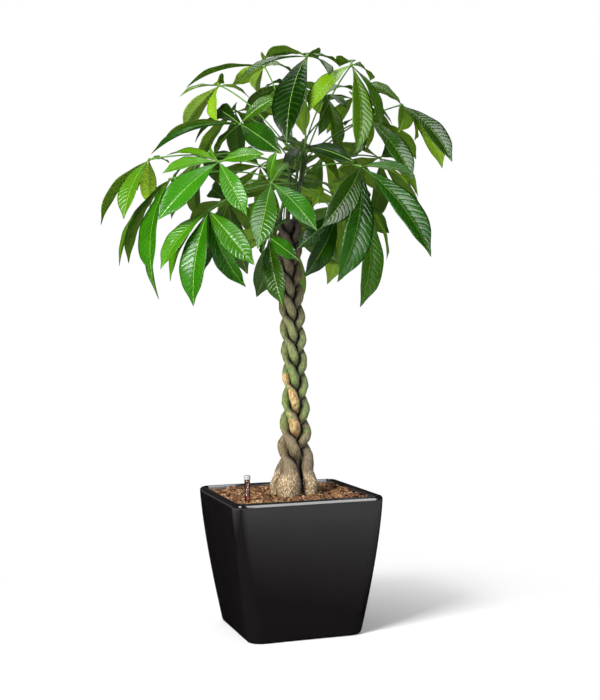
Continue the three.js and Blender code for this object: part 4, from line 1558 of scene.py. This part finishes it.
@dataclass(frozen=True)
class Leaf:
    """A palmate leaf: its shoot, its knob's place in the tree's frame, and its tips from there.

    shown gives how squarely each leaflet's upper side is shown to the best side: 1 is square
    on, 0 edge on and -1 its underside. Without it, the leaflets face as the leaf does. fresh
    gives how yellow-green each leaflet is: a young leaf's own colour, and painted light
    shining through the blade. tone gives how light the whole leaf is: its own green, and
    painted light and shade, lighter at the front left and darker in the crown's heart and at
    the back.
    """

    name: str
    shoot: str
    hub: Place
    tips: tuple[Place, ...]
    shown: tuple[float, ...] = ()
    fresh: tuple[float, ...] = ()
    # The back leaves keep this dark tone: painted shade.
    tone: float = 0.12


@dataclass(frozen=True)
class BackLeaf:
    """A leaf at the back, whose leaflets fan out evenly.

    azimuth is in degrees from the tree's right, reach is from the crown's middle, size is the
    longest leaflet's length, and twist turns the fan.
    """

    name: str
    shoot: str
    azimuth: float
    reach: float
    height: float
    size: float
    twist: float


SHOOTS = (
    Shoot("shoot_front", 1, (36, -18, 1142)),
    Shoot("shoot_right", 3, (54, -3, 1160)),
    Shoot("shoot_back", 2, (47, 16, 1170)),
    Shoot("shoot_far", 4, (24, 18, 1165)),
    Shoot("shoot_left", 0, (16, -2, 1150)),
)

# Each leaf's tone paints in light and shade as well as its own green: the front-left leaves are
# lighter, and those at the top and in the crown's heart darker.
SEEN_LEAVES = (
    Leaf(
        "front_left", "shoot_front", (-145, -150, 1105),
        ((-130, 0, -25), (-135, -50, -135), (65, -65, -130), (105, -40, 10), (-125, 60, 25),
         (-20, 90, 55)),
        shown=(0.7, 0.95, 1, 0.95, 0.5, 0.5), fresh=(0.15, 0, 0.05, 0.1, 0.3, 0.2), tone=0.65,
    ),
    Leaf(
        "front_low_left", "shoot_front", (-170, -150, 995),
        ((-35, -40, -220), (105, -65, -130), (-110, -25, -135), (-95, 40, -160), (80, 50, -175),
         (25, 90, -115)),
        shown=(0.87, 1, 0.75, 0.45, 0.75, 0.5), fresh=(0, 0.05, 0.1, 0.15, 0, 0.1), tone=0.6,
    ),
    Leaf(
        "left_upper", "shoot_front", (-100, -60, 1205),
        ((-195, 40, -40), (-205, -50, -75), (-60, 110, 55), (100, -130, -90), (95, -30, 60),
         (-65, 30, -75)),
        shown=(-0.12, 0.32, 1, 1, 0.95, 0.6), fresh=(0.35, 0, 0, 0, 0.1, 0.1), tone=0.1,
    ),
    Leaf(
        "left_outer", "shoot_left", (-320, -20, 1130),
        ((-50, -90, -150), (-10, 80, -105), (-120, 10, -155), (40, 70, 0), (-40, 80, -65)),
        shown=(0.8, -0.95, -0.22, 0.5, -0.5), fresh=(0.2, 1, 0.5, 0.2, 0.4), tone=0.5,
    ),
    Leaf(
        "top_front", "shoot_right", (60, -20, 1370),
        ((-160, -40, -65), (-105, 110, 20), (-50, -130, -225), (50, -110, -70), (80, 90, -5),
         (30, 130, 20)),
        shown=(0.35, -0.2, 0.87, 0.4, 0.3, 0.3), fresh=(0.05, 0.2, 0, 0.1, 0.3, 0.2), tone=0.06,
    ),
    Leaf(
        "top_left", "shoot_left", (-155, 60, 1320),
        ((-95, -20, -30), (-85, -50, -120), (0, -90, -105), (70, 60, -20), (5, 130, 30)),
        shown=(0.4, -0.75, 0.6, 0.5, 0.5), fresh=(0.4, 0.7, 0.85, 0.5, 0.6), tone=0.15,
    ),
    Leaf(
        "front_middle", "shoot_front", (-25, -200, 1050),
        ((-30, -100, -155), (100, -70, -115), (-60, -40, -10), (15, -70, 60), (40, 60, 50)),
        shown=(1, 0.95, 0.3, 0.8, 0.8), fresh=(0.05, 0, 0.1, 0.1, 0.1), tone=0.36,
    ),
    Leaf(
        "low_middle", "shoot_front", (-35, -110, 935),
        ((70, -80, -60), (30, -30, -160), (-15, -40, -45), (-35, 90, 0), (60, 50, 45)),
        shown=(1, 0.95, 0.6, 0.5, 0.5), fresh=(0, 0.05, 0, 0, 0), tone=0.24,
    ),
    Leaf(
        "left_hanging", "shoot_left", (-270, -40, 1080),
        ((-120, -20, -205), (-110, 70, -195), (-35, -80, -235), (-30, 0, -285), (-40, 130, -75)),
        shown=(0.2, -0.2, 0.6, 0.3, 0.5), fresh=(0.2, 0.3, 0, 0.1, 0.2), tone=0.35,
    ),
    Leaf(
        "top_right", "shoot_right", (165, -60, 1340),
        ((5, -50, -215), (-105, -70, -125), (65, 0, -155), (50, 120, -15), (-25, 140, 25)),
        shown=(0.75, 0.75, 0.5, 0.5, 0.5), fresh=(0.3, 0.6, 0.15, 0.3, 0.3), tone=0.36,
    ),
    Leaf(
        "right_outer", "shoot_right", (290, 30, 1260),
        ((115, -40, -145), (105, 80, -145), (-20, -120, -85), (40, 110, -70), (-65, 90, 45),
         (-90, -40, 45)),
        shown=(0.8, -0.5, 0.85, 0.28, 0.45, 0.8), fresh=(0.05, 0.7, 0.35, 0.5, 0.3, 0.2), tone=0.22,
    ),
    Leaf(
        "front_right", "shoot_right", (180, -110, 1095),
        ((125, -10, -25), (155, -50, -215), (-60, -70, -270), (-95, -120, -150), (120, 110, -35),
         (-15, 170, 0)),
        shown=(0.6, 0.75, 0.73, 0.9, 0.3, 0.5), fresh=(0, 0, 0, 0.05, 0.7, 0.3), tone=0.22,
    ),
    Leaf(
        "right_upper", "shoot_back", (205, 50, 1230),
        ((105, -60, -160), (80, 60, -65), (130, 110, -85), (-40, -20, -95), (-50, 100, 0)),
        shown=(0.8, -0.2, -0.2, 0.8, 0.5), fresh=(0.05, 0.7, 0.5, 0.1, 0.2), tone=0.16,
    ),
    Leaf(
        "right_hanging", "shoot_right", (195, 40, 1025),
        ((-15, -40, -255), (10, 50, -145), (60, 90, -135), (-65, 70, -85)),
        shown=(0.65, -0.95, 0.15, 0.5), fresh=(0.1, 0.95, 0.4, 0.6), tone=0.3,
    ),
    Leaf(
        "heart_front", "shoot_front", (50, -60, 1150),
        ((115, -50, -45), (85, 82, -75), (-45, -70, -60), (-65, -50, 10)),
        shown=(0.92, 0.6, 0.8, 0.8), fresh=(0, 0.3, 0.05, 0), tone=0.1,
    ),
    Leaf(
        "low_right", "shoot_right", (125, -60, 990),
        ((-95, -60, -85), (-80, -50, -150), (0, 40, -110), (35, 110, -35)),
        shown=(1, 0.87, -0.6, 0.5), fresh=(0, 0, 0.3, 0.2), tone=0.15,
    ),
    Leaf(
        "top_back", "shoot_far", (-45, 110, 1375),
        ((-195, 0, -50), (-85, 80, -30), (-20, -80, -75), (65, 100, 5), (-10, 150, 40)),
        shown=(0.08, -0.9, -0.8, 0.5, 0.5), fresh=(0.3, 0.8, 0.8, 0.4, 0.4), tone=0.15,
    ),
    Leaf(
        "heart_upper", "shoot_back", (105, 40, 1290),
        ((50, -50, -45), (25, 55, -140), (-20, -30, -105), (70, 110, 30), (-40, 110, 5)),
        shown=(0.7, 0.75, 0.8, 0.5, 0.5), fresh=(0.1, 0.3, 0.2, 0.3, 0.3), tone=0.2,
    ),
    Leaf(
        "young", "shoot_back", (90, 40, 1080),
        ((-40, 20, 15), (-25, -30, -65), (35, -20, -35), (-5, 20, -55)),
        shown=(0.7, 0.7, 0.7, 0.7), fresh=(0.9, 1, 0.8, 0.9), tone=0.6,
    ),
)

BACK_LEAVES = (
    BackLeaf("back_1", "shoot_back", 60, 250, 1040, 210, 0),
    BackLeaf("back_2", "shoot_far", 97, 250, 990, 215, 8),
    BackLeaf("back_3", "shoot_far", 133, 250, 1050, 210, -6),
    BackLeaf("back_4", "shoot_back", 36, 270, 1150, 205, 17),
    BackLeaf("back_5", "shoot_far", 74, 275, 1175, 205, 4),
    BackLeaf("back_6", "shoot_far", 110, 260, 1145, 205, 8),
    BackLeaf("back_7", "shoot_left", 148, 280, 1155, 170, -4),
    BackLeaf("back_8", "shoot_back", 44, 215, 1300, 160, 0),
    BackLeaf("back_9", "shoot_far", 94, 165, 1340, 160, 10),
    BackLeaf("back_10", "shoot_left", 136, 200, 1270, 175, -5),
)


@dataclass
class Blade:
    """A leaflet's blade.

    With t from root to tip and s from edge to edge, -1 to 1, the midrib is the straight line
    plus a parabola, the half width is outline(t), and each half rises from the midrib as a
    shallow arch whose edge waves.
    """

    width_share: float = 0.33
    rise_power: float = 1.45  # of the outline from its root
    fall_power: float = 1.0  # of the outline to its tip
    tip_pinch: float = 0.3  # how much narrower it is where the tip is drawn out
    base_half: float = 0.9  # half width where it leaves the knob
    base_fade: float = 0.05  # share of its length over which that fades
    row_power: float = 1.08  # above 1, the rows lie closer at the root
    column_power: float = 0.85  # below 1, the columns lie closer at the edges
    last_row: float = 0.9985  # just short of the tip
    arch_share: float = 0.1
    fold_deg: float = 14.0
    root_reach: float = 2.0
    rows: int = 34
    half_columns: int = 6
    edge_thickness: float = 0.35
    rib_width: float = 1.1
    rib_depth: float = 1.5
    wave_height: float = 1.0
    fewest_waves: float = 2.5
    most_waves: float = 4.5
    twist_deg: float = 7.0

    def outline(self, t: Array) -> Array:
        """Works out the outline.

        Args:
            t: shares of the length, from the root.

        Returns:
            The half width as a share of the greatest: t^rise * (1 - t)^fall, scaled to 1, and
            pinched before the tip.
        """
        rise, fall = self.rise_power, self.fall_power
        peak = rise / (rise + fall)
        plain = t**rise * (1 - t) ** fall / (peak**rise * (1 - peak) ** fall)
        pinch = self.tip_pinch * smoothstep(0.8, 0.95, t) * smoothstep(1.0, 0.95, t)
        return plain * (1 - pinch)

    def surface(self, root: Array, tip: Array, up: Array, seed: int) -> dict[str, Array]:
        """Works out a leaflet's closed skin.

        Args:
            root: where its midrib starts.
            tip: where it ends.
            up: the way that its upper side faces, square to the line from root to tip.
            seed: picks its waves.

        Returns:
            The grid of points, its map, and each point's distance from the midrib.
        """
        rng = np.random.default_rng(seed)
        chord = tip - root
        length = float(np.linalg.norm(chord))
        side = np.cross(chord / length, up)
        t = np.clip(np.linspace(0, 1, self.rows) ** self.row_power, 0.0, self.last_row)
        bow = 4 * self.arch_share * length
        middle = root + np.outer(t, chord) + np.outer(bow * t * (1 - t), up)
        slope = unit(chord + np.outer(bow * (1 - 2 * t), up))
        twist = math.radians(self.twist_deg) * rng.uniform(-1, 1) * (t - 0.45) * 2
        over = np.cross(side, slope)
        across = side * np.cos(twist)[:, None] + over * np.sin(twist)[:, None]
        lift = np.cross(across, slope)
        half = self.outline(t) * self.width_share * length / 2
        half = half + self.base_half * np.exp(-t / self.base_fade)
        s_top = np.linspace(-1, 1, 2 * self.half_columns + 1)
        s_top = np.sign(s_top) * np.abs(s_top) ** self.column_power
        s = np.concatenate([s_top, s_top[-2:0:-1]])
        under = np.concatenate([np.zeros(len(s_top)), np.ones(len(s_top) - 2)])
        reach = half[:, None] * s[None, :]
        fold = math.radians(self.fold_deg)
        arch = np.abs(s) * (1.45 - 0.5 * np.abs(s))
        waves = rng.uniform(self.fewest_waves, self.most_waves)
        starts = rng.uniform(0, 2 * math.pi, 2)
        phase = np.where(s < 0, starts[0], starts[1])
        ruffle = np.sin(2 * math.pi * waves * t[:, None] + phase[None, :]) * np.abs(s) ** 2.2
        ruffle = ruffle * (self.wave_height * np.sin(math.pi * np.clip(t, 0, 1)) ** 0.6)[:, None]
        rise = half[:, None] * math.sin(fold) * arch[None, :] + ruffle
        rib = self.rib_depth * (1 - 0.75 * t)[:, None] * np.exp(-((reach / self.rib_width) ** 2))
        below = (self.edge_thickness * np.sqrt(np.clip(1 - s**2, 0, 1)) + rib) * under
        points = (
            middle[:, None]
            + across[:, None] * (reach * math.cos(fold))[..., None]
            + lift[:, None] * (rise - below)[..., None]
        )
        uv = np.stack(np.broadcast_arrays(t[:, None], 0.5 + 0.5 * s[None, :]), axis=-1)
        return {"points": points, "uv": uv, "reach": np.abs(reach), "under": under}


@dataclass
class Crown:
    """The shoots, and the leaves on their stalks."""

    plait: Plait
    blade: Blade = field(default_factory=Blade)
    middle: Place = (25.0, 0.0, 1100.0)
    face_out: float = 0.8
    face_up: float = 0.6
    best_side: Place = (0.0, -1.0, 0.0)
    back_roll_deg: float = 14.0
    shoot_radius: float = 3.2
    shoot_foot_gap: float = 0.35
    shoot_swell: float = 0.9  # how much thicker it is where a stalk leaves it
    shoot_swell_reach: float = 0.018  # share of its length
    shoot_lumps: Ripple = Ripple(0.25, 6.0, 90)
    straight_foot: float = 0.25
    straight_tip: float = 0.55
    bud_length: float = 11.0
    bud_lean: float = 0.15
    stalk_radius: float = 2.0
    stalk_foot: tuple[float, float] = (0.7, 14.0)  # its swelling's share and reach at the shoot
    stalk_end: tuple[float, float] = (0.55, 9.0)  # and at the knob
    stalk_arch: float = 0.16
    stalk_spacing: float = 0.09
    knob_radius: float = 4.2
    knob_flatness: float = 0.8
    tone_spread: float = 0.3  # how much the leaflets of one leaf differ in lightness
    fan_leaflets: int = 6
    fan_step_deg: float = 52.0
    fan_jitter_deg: float = 8.0
    fan_droop: float = 0.3
    fan_weight: float = 0.25
    fan_shortest: float = 0.6
    fan_length_jitter: float = 0.06
    back_fresh: float = 0.55
    upper: LeafSkin = field(
        default_factory=lambda: LeafSkin(
            Side.UPPER, "#082200", "#388608", fresh="#88b41a", vein="#90bb50", roughness=0.25
        )
    )
    lower: LeafSkin = field(
        default_factory=lambda: LeafSkin(
            Side.LOWER, "#163403", "#3d6f0e", fresh="#8db31c", vein="#86a648", roughness=0.6
        )
    )
    stalk_skin: GreenStem = field(
        default_factory=lambda: GreenStem("leaf_stalk_skin", "#4c7a24", "#4c5226")
    )
    shoot_skin: GreenStem = field(
        default_factory=lambda: GreenStem("shoot_skin", "#2c4a18", "#2b2a18", roughness=0.6)
    )

    def shoot_line(self, shoot: Shoot, t: Array) -> Array:
        """Works out points on a shoot: a Bezier curve that is upright at both ends.

        Args:
            shoot: the shoot.
            t: shares along it.

        Returns:
            The points in the tree's frame.
        """
        top = self.plait.middle(shoot.trunk, np.array([self.plait.top]))[0]
        foot = top + np.array([0, 0, self.shoot_foot_gap])
        tip = np.array(shoot.tip, float)
        rise = np.array([0, 0, tip[2] - foot[2]])
        low, high = foot + rise * self.straight_foot, tip - rise * self.straight_tip
        return bezier([foot, low, high, tip], t)

    def build_shoot(self, shoot: Shoot, shares: list[float], material: Material) -> Piece:
        """Builds a shoot that swells at each stalk's foot and ends in a pointed bud.

        A swelling is exp(-x^2), and the bud narrows as (1 - share)^0.7.

        Args:
            shoot: the shoot.
            shares: where the stalks leave it.
            material: its skin.

        Returns:
            The piece.
        """
        t = np.linspace(0, 1, 90)
        line = self.shoot_line(shoot, t)
        radii = self.shoot_radius * (1.15 - 0.2 * t)
        for share in shares:
            away = (t - share) / self.shoot_swell_reach
            radii = radii + self.shoot_swell * np.exp(-(away**2))
        bud = np.linspace(0, 1, 12)[1:]
        rise = np.outer(bud * self.bud_length, [self.bud_lean, 0, 1])
        line = np.concatenate([line, line[-1] + rise])
        radii = np.concatenate([radii, radii[-1] * (1 - bud) ** 0.7 + 0.1])
        points = tube(line, radii, 16)
        lumps = self.shoot_lumps.over(points, shoot.trunk)[..., None]
        points = points + unit(points - line[:, None]) * lumps
        age = np.concatenate([0.75 * (1 - t) + 0.1, np.zeros(len(bud))])
        look = np.stack(np.broadcast_arrays(age[:, None], 0.0, 0.0), axis=-1)
        skin = Skin()
        skin.add(turned_about_z(points, self.plait.tree_turn_deg), look=look)
        piece = skin.build(shoot.name + "_stem", [material])
        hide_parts(shoot.name)
        return piece

    def face(self, hub: Array) -> Array:
        """Returns the way that a leaf faces: away from the crown's middle, and up."""
        out = unit(hub - np.array(self.middle)) * self.face_out
        return unit(out + np.array([0, 0, self.face_up]))

    def upper_side(self, leaf: Leaf, index: int, number: int, along: Array, face: Array) -> Array:
        """Works out the way that a leaflet's upper side faces.

        A leaflet with a shown value is turned from the best side until that much of it shows,
        the way that is nearer to the leaf's own face. Any other is rolled a little from that face.

        Args:
            leaf: the leaf.
            index: the leaf's number among all leaves.
            number: the leaflet's number in the leaf.
            along: the unit vector from the leaflet's root to its tip.
            face: the way that the leaf faces.

        Returns:
            The unit vector, square to the leaflet.
        """
        if not leaf.shown:
            up = unit(face - face.dot(along) * along)
            roll = math.radians(self.back_roll_deg) * (2 * draw(index, number) - 1)
            return up * math.cos(roll) + np.cross(along, up) * math.sin(roll)
        best = np.array(self.best_side)
        square = unit(best - best.dot(along) * along)
        aside = np.cross(along, square)
        shown = leaf.shown[number]
        turn = math.sqrt(1 - shown**2) * (-1.0 if aside.dot(face) < 0 else 1.0)
        return square * shown + aside * turn

    def fan(self, leaf: BackLeaf, index: int) -> Leaf:
        """Works out a back leaf's tips: they fan out round its face, evenly but for small draws.

        Args:
            leaf: the leaf.
            index: its number among all leaves, for its draws.

        Returns:
            The same leaf, with its knob and tips.
        """
        azimuth = math.radians(leaf.azimuth)
        out = np.array([math.cos(azimuth), math.sin(azimuth), 0.0])
        hub = np.array([self.middle[0], self.middle[1], leaf.height]) + out * leaf.reach
        face = self.face(hub)
        side = np.cross([0, 0, 1], out)
        hanging = unit(out - out.dot(face) * face)
        tips = []
        for j in range(self.fan_leaflets):
            place = j - (self.fan_leaflets - 1) / 2
            jitter = self.fan_jitter_deg * (2 * draw(index, j + 20) - 1)
            angle = math.radians(place * self.fan_step_deg + leaf.twist + jitter)
            share = lerp(self.fan_shortest, 1.0, math.cos(angle / 2) ** 2)
            stretch = self.fan_length_jitter * (2 * draw(index, j + 40) - 1)
            length = leaf.size * share * (1 + stretch)
            way = hanging * math.cos(angle) + side * math.sin(angle) - face * self.fan_droop
            way = way - np.array([0, 0, self.fan_weight])
            tips.append(tuple(unit(way) * length))
        fresh = tuple(self.back_fresh * draw(index, j + 80) for j in range(self.fan_leaflets))
        return Leaf(leaf.name, leaf.shoot, tuple(hub), tuple(tips), fresh=fresh)

    def build_leaf(self, leaf: Leaf, index: int, share: float, materials: list[Material]) -> Piece:
        """Builds a leaf: its stalk, its knob and its leaflets, as one piece.

        The stalk is a Bezier curve over a raised knee, and swells at both ends as exp(-x^2).

        Args:
            leaf: the leaf.
            index: its number among all leaves.
            share: where on its shoot its stalk starts.
            materials: the upper skin, the lower skin and the stalk's.

        Returns:
            The piece.
        """
        shoot = next(s for s in SHOOTS if s.name == leaf.shoot)
        hub = np.array(leaf.hub, float)
        foot = self.shoot_line(shoot, np.array([share]))[0]
        span = float(np.linalg.norm(hub - foot))
        knee = (foot + hub) / 2 + np.array([0, 0, self.stalk_arch * span])
        t = np.linspace(0, 1, 40)
        line = bezier([foot, knee, hub], t)
        swell = 0.92
        for (most, reach), away in ((self.stalk_foot, t * span), (self.stalk_end, (1 - t) * span)):
            swell = swell + most * np.exp(-((away / reach) ** 2))
        radii = self.stalk_radius * swell
        turn = self.plait.tree_turn_deg
        across = np.cross(hub - foot, [0, 0, 1])
        skin = Skin()
        age = np.stack(np.broadcast_arrays(0.5 * np.exp(-t / 0.2)[:, None], 0.0, 0.0), axis=-1)
        skin.add(turned_about_z(tube(line, radii, 12, across), turn), look=age, slot=2)
        face = self.face(hub)
        through = np.linspace(-1, 1, 13)
        knob = hub + np.outer(through * self.knob_radius * self.knob_flatness, face)
        round_off = self.knob_radius * np.sqrt(np.clip(1 - through**2, 0.01, 1))
        ball = tube(knob, round_off, 14, np.cross(face, [0.3, 0.9, 0.1]))
        skin.add(turned_about_z(ball, turn), slot=2)
        columns = 2 * self.blade.half_columns
        slots = np.repeat([0, 1], columns)
        for j, offset in enumerate(leaf.tips):
            away = np.array(offset, float)
            along = unit(away)
            up = self.upper_side(leaf, index, j, along, face)
            root = hub + along * self.blade.root_reach
            made = self.blade.surface(root, hub + away, up, 1000 + 10 * index + j)
            # The leaf's tone, which paints in light and shade, and a random spread.
            own = leaf.tone + self.tone_spread * (draw(index, j + 60) - 0.5)
            reach = made["reach"] / LOOK_REACH
            look = np.stack(np.broadcast_arrays(own, leaf.fresh[j], reach), axis=-1)
            points = turned_about_z(made["points"], turn)
            skin.add(points, uv=made["uv"], look=look, slot=slots)
        piece = skin.build("palm_" + leaf.name, materials)
        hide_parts("leaf_" + leaf.name)
        return piece

    def build(self) -> list[Piece]:
        """Builds the leaves and then the shoots.

        On each shoot the highest leaf's stalk is at the tip, and each lower one a step below.

        Returns:
            The pieces.
        """
        leaves = list(SEEN_LEAVES)
        leaves += [self.fan(leaf, len(SEEN_LEAVES) + i) for i, leaf in enumerate(BACK_LEAVES)]
        materials = [self.upper.material(), self.lower.material(), self.stalk_skin.material()]
        shares: dict[str, list[float]] = {shoot.name: [] for shoot in SHOOTS}
        made = []
        for index, leaf in enumerate(leaves):
            higher = [o for o in leaves if o.shoot == leaf.shoot and o.hub[2] > leaf.hub[2]]
            share = 1 - self.stalk_spacing * len(higher)
            shares[leaf.shoot].append(share)
            made.append(self.build_leaf(leaf, index, share, materials))
        skin = self.shoot_skin.material()
        made += [self.build_shoot(shoot, shares[shoot.name], skin) for shoot in SHOOTS]
        return made


# ------------ studio


@dataclass(frozen=True)
class Lamp:
    """A rectangular soft light: its place and aim, its size in millimetres and its power."""

    name: str
    place: Place
    aim: Place
    width: float
    height: float
    watts: float
    in_gloss_only: bool = False


@dataclass(frozen=True)
class Pool:
    """A painted pool of light on the floor, seen only in gloss: the way it lies, its start and
    where it is full.
    """

    way: Place
    start: float
    full: float


@dataclass
class Studio:
    """The pale floor, the soft lights and the camera. Places are in the tree's frame."""

    turn_deg: float = -18.0
    camera_place: Place = (33.5, -2940.0, 731.0)
    pitch_deg: float = 1.2
    roll_deg: float = 0.85
    focal_pixels: float = 1219.0
    frame_height: float = 700.0
    sensor_height: float = 36.0
    floor_radius: float = 60000.0
    floor_rings: int = 24
    floor_sides: int = 64
    floor_drop: float = 0.2  # below the planter's foot
    floor_colour: str = "#f4f4f4"
    floor_roughness: float = 0.9
    stipple: float = 3.0
    stipple_height: float = 0.05
    world_colour: str = "#ffffff"
    world_strength: float = 0.17  # the dim room that lights the object
    backdrop_strength: float = 1.0  # the white behind it
    mirrored_strength: float = 0.04  # the dark room that glossy surfaces mirror
    fade_from: float = 220.0  # the floor turns plain white between these distances
    fade_to: float = 1000.0
    pools: tuple[Pool, ...] = (
        Pool((0.76, -0.65, 0.0), 270.0, 1150.0),
        Pool((-0.97, -0.24, 0.0), 800.0, 1700.0),
    )
    lamps: tuple[Lamp, ...] = (
        Lamp("key", (-1700, -2300, 2000), (0, 0, 850), 1200, 1200, 190),
        Lamp("fill", (2300, -1500, 1500), (0, 0, 850), 1200, 1800, 30),
        Lamp("overhead", (100, 900, 3000), (0, 0, 850), 1800, 1800, 30),
        Lamp("strip", (1650, -2000, 1700), (0, 0, 330), 1300, 3600, 230, in_gloss_only=True),
    )

    def build_camera(self) -> None:
        """Sets the camera up: it looks along the tree's depth, level but for its pitch and roll."""
        camera = bpy.data.cameras.new("camera")
        camera.sensor_fit = "VERTICAL"
        camera.sensor_height = self.sensor_height
        camera.lens = self.focal_pixels * self.sensor_height / self.frame_height
        camera.clip_end = 200.0
        eye = bpy.data.objects.new("camera", camera)
        bpy.context.scene.collection.objects.link(eye)
        place = turned_about_z(np.array(self.camera_place), self.turn_deg) * MM
        eye.matrix_world = (
            Matrix.Translation(place)
            @ Matrix.Rotation(math.radians(self.turn_deg), 4, "Z")
            @ Matrix.Rotation(math.radians(90 - self.pitch_deg), 4, "X")
            @ Matrix.Rotation(math.radians(-self.roll_deg), 4, "Z")
        )
        bpy.context.scene.camera = eye

    def build_light(self, lamp: Lamp) -> None:
        """Hangs a soft light.

        Args:
            lamp: its place, size and power.
        """
        light = bpy.data.lights.new(lamp.name, "AREA")
        light.shape = "RECTANGLE"
        light.size, light.size_y = lamp.width * MM, lamp.height * MM
        light.energy = lamp.watts
        hung = bpy.data.objects.new(lamp.name, light)
        bpy.context.scene.collection.objects.link(hung)
        start = turned_about_z(np.array(lamp.place), self.turn_deg) * MM
        end = turned_about_z(np.array(lamp.aim), self.turn_deg) * MM
        back = unit(start - end)
        right = unit(np.cross([0, 0, 1], back))
        axes = np.column_stack([right, np.cross(back, right), back])
        hung.matrix_world = Matrix.Translation(start) @ Matrix(axes.tolist()).to_4x4()
        hung.visible_diffuse = not lamp.in_gloss_only

    def floor_paint(self) -> Material:
        """Builds the floor's paint: matt, plain white far off, and dark in gloss but for painted
        pools of light.

        Returns:
            The material.
        """
        material, tree, shader = new_material("paint_rolled_matt_white")
        place = add(tree, "TexCoord").outputs["Object"]
        stipple = add(
            tree, "TexNoise", {"Vector": place, "Scale": per_metre(self.stipple), "Detail": 2.0}
        )
        height = self.stipple_height * MM
        bump = add(tree, "Bump", {"Height": stipple, "Distance": height, "Strength": 0.5})
        feed(tree, shader, {"Normal": bump, "Roughness": self.floor_roughness})
        feed(tree, shader, {"Specular IOR Level": 0.0})
        ray = add(tree, "LightPath")
        # Painted light: pools that only gloss sees, so the planter's sides mirror them.
        lit: Node | float = 0.0
        for pool in self.pools:
            axis = tuple(turned_about_z(np.array(pool.way), self.turn_deg))
            reach = add(
                tree, "VectorMath", {0: place, 1: axis}, operation="DOT_PRODUCT"
            ).outputs["Value"]
            distances = between(pool.start * MM, pool.full * MM)
            share = add(tree, "MapRange", {"Value": reach, **distances})
            lit = add(tree, "Math", {0: share, 1: lit}, operation="MAXIMUM")
        white = linear(self.floor_colour)
        mirrored = add(tree, "Mix", {0: lit, 6: linear("#000000"), 7: white}, **COLOURS)
        paint = add(
            tree,
            "Mix",
            {0: ray.outputs["Is Glossy Ray"], 6: white, 7: mirrored.outputs[2]},
            **COLOURS,
        )
        feed(tree, shader, {"Base Color": paint.outputs[2]})
        away = add(tree, "VectorMath", {0: place}, operation="LENGTH").outputs["Value"]
        far = add(
            tree,
            "MapRange",
            {"Value": away, **between(self.fade_from * MM, self.fade_to * MM)},
            **EASED,
        )
        seen = add(tree, "Math", {0: far, 1: ray.outputs["Is Camera Ray"]}, operation="MULTIPLY")
        backdrop = {"Color": linear(self.world_colour), "Strength": self.backdrop_strength}
        glow = add(tree, "Emission", backdrop)
        mix = add(tree, "MixShader", {0: seen, 1: shader, 2: glow})
        feed(tree, tree.nodes["Material Output"], {"Surface": mix})
        return material

    def build_floor(self) -> None:
        """Lays a wide floor: level rings whose radii grow by one ratio."""
        radii = np.geomspace(1.0, self.floor_radius, self.floor_rings)[::-1]
        outline = [(radius, -self.floor_drop) for radius in radii]
        skin = Skin()
        skin.add(turned(outline, 0.0, 0.0, self.floor_sides), capped=False)
        skin.build("floor", [self.floor_paint()])

    def build_lights(self) -> None:
        """Hangs the lamps in a pale room that gloss sees as dark."""
        for lamp in self.lamps:
            self.build_light(lamp)
        world = bpy.data.worlds.new("studio")
        bpy.context.scene.world = world
        world.use_nodes = True
        tree = world.node_tree
        ray = add(tree, "LightPath")
        room = add(
            tree,
            "MapRange",
            {
                "Value": ray.outputs["Is Glossy Ray"],
                "To Min": self.world_strength,
                "To Max": self.mirrored_strength,
            },
        )
        strength = add(
            tree,
            "MapRange",
            {
                "Value": ray.outputs["Is Camera Ray"],
                "To Min": room,
                "To Max": self.backdrop_strength,
            },
        )
        sky = {"Color": linear(self.world_colour), "Strength": strength}
        feed(tree, tree.nodes["Background"], sky)
        bpy.context.scene.view_settings.view_transform = "Standard"


# ------------ the whole thing


def dress_hidden_nodes(nodes: dict[str, Piece]) -> None:
    """Gives the granulate under the soil its own finish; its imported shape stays.

    Args:
        nodes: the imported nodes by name.
    """
    finish = LooseFill(
        "zeolite_crushed_granulate",
        ((0.0, "#6f675c"), (0.4, "#958a7b"), (0.75, "#b3a794"), (1.0, "#cbc3b4")),
        grain=2.0,
        by_cells=True,
        cell_size=6.0,
    )
    mesh = nodes["granulate"].data
    mesh.materials.clear()
    mesh.materials.append(finish.material())


def main() -> None:
    """Loads the frame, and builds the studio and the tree."""
    logging.basicConfig(level=logging.INFO, format="%(name)s: %(message)s")
    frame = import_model()
    studio = Studio()
    studio.build_camera()
    studio.build_lights()
    studio.build_floor()

    planter = Planter()
    liner = Liner(planter)
    filling = Filling(planter, liner)
    gauge = WaterGauge()
    plait = Plait()
    crown = Crown(plait)
    clear = plait.kept_clear() + [(gauge.x, gauge.y, gauge.outer + 2.5)]
    pieces = [
        planter.build(),
        liner.build(),
        filling.build_soil(),
        filling.build_chips(clear),
        *gauge.build(),
        *plait.build(),
        *crown.build(),
    ]
    for piece in pieces:
        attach(piece, "root")
    dress_hidden_nodes(frame["nodes"])


if __name__ == "__main__":
    main()
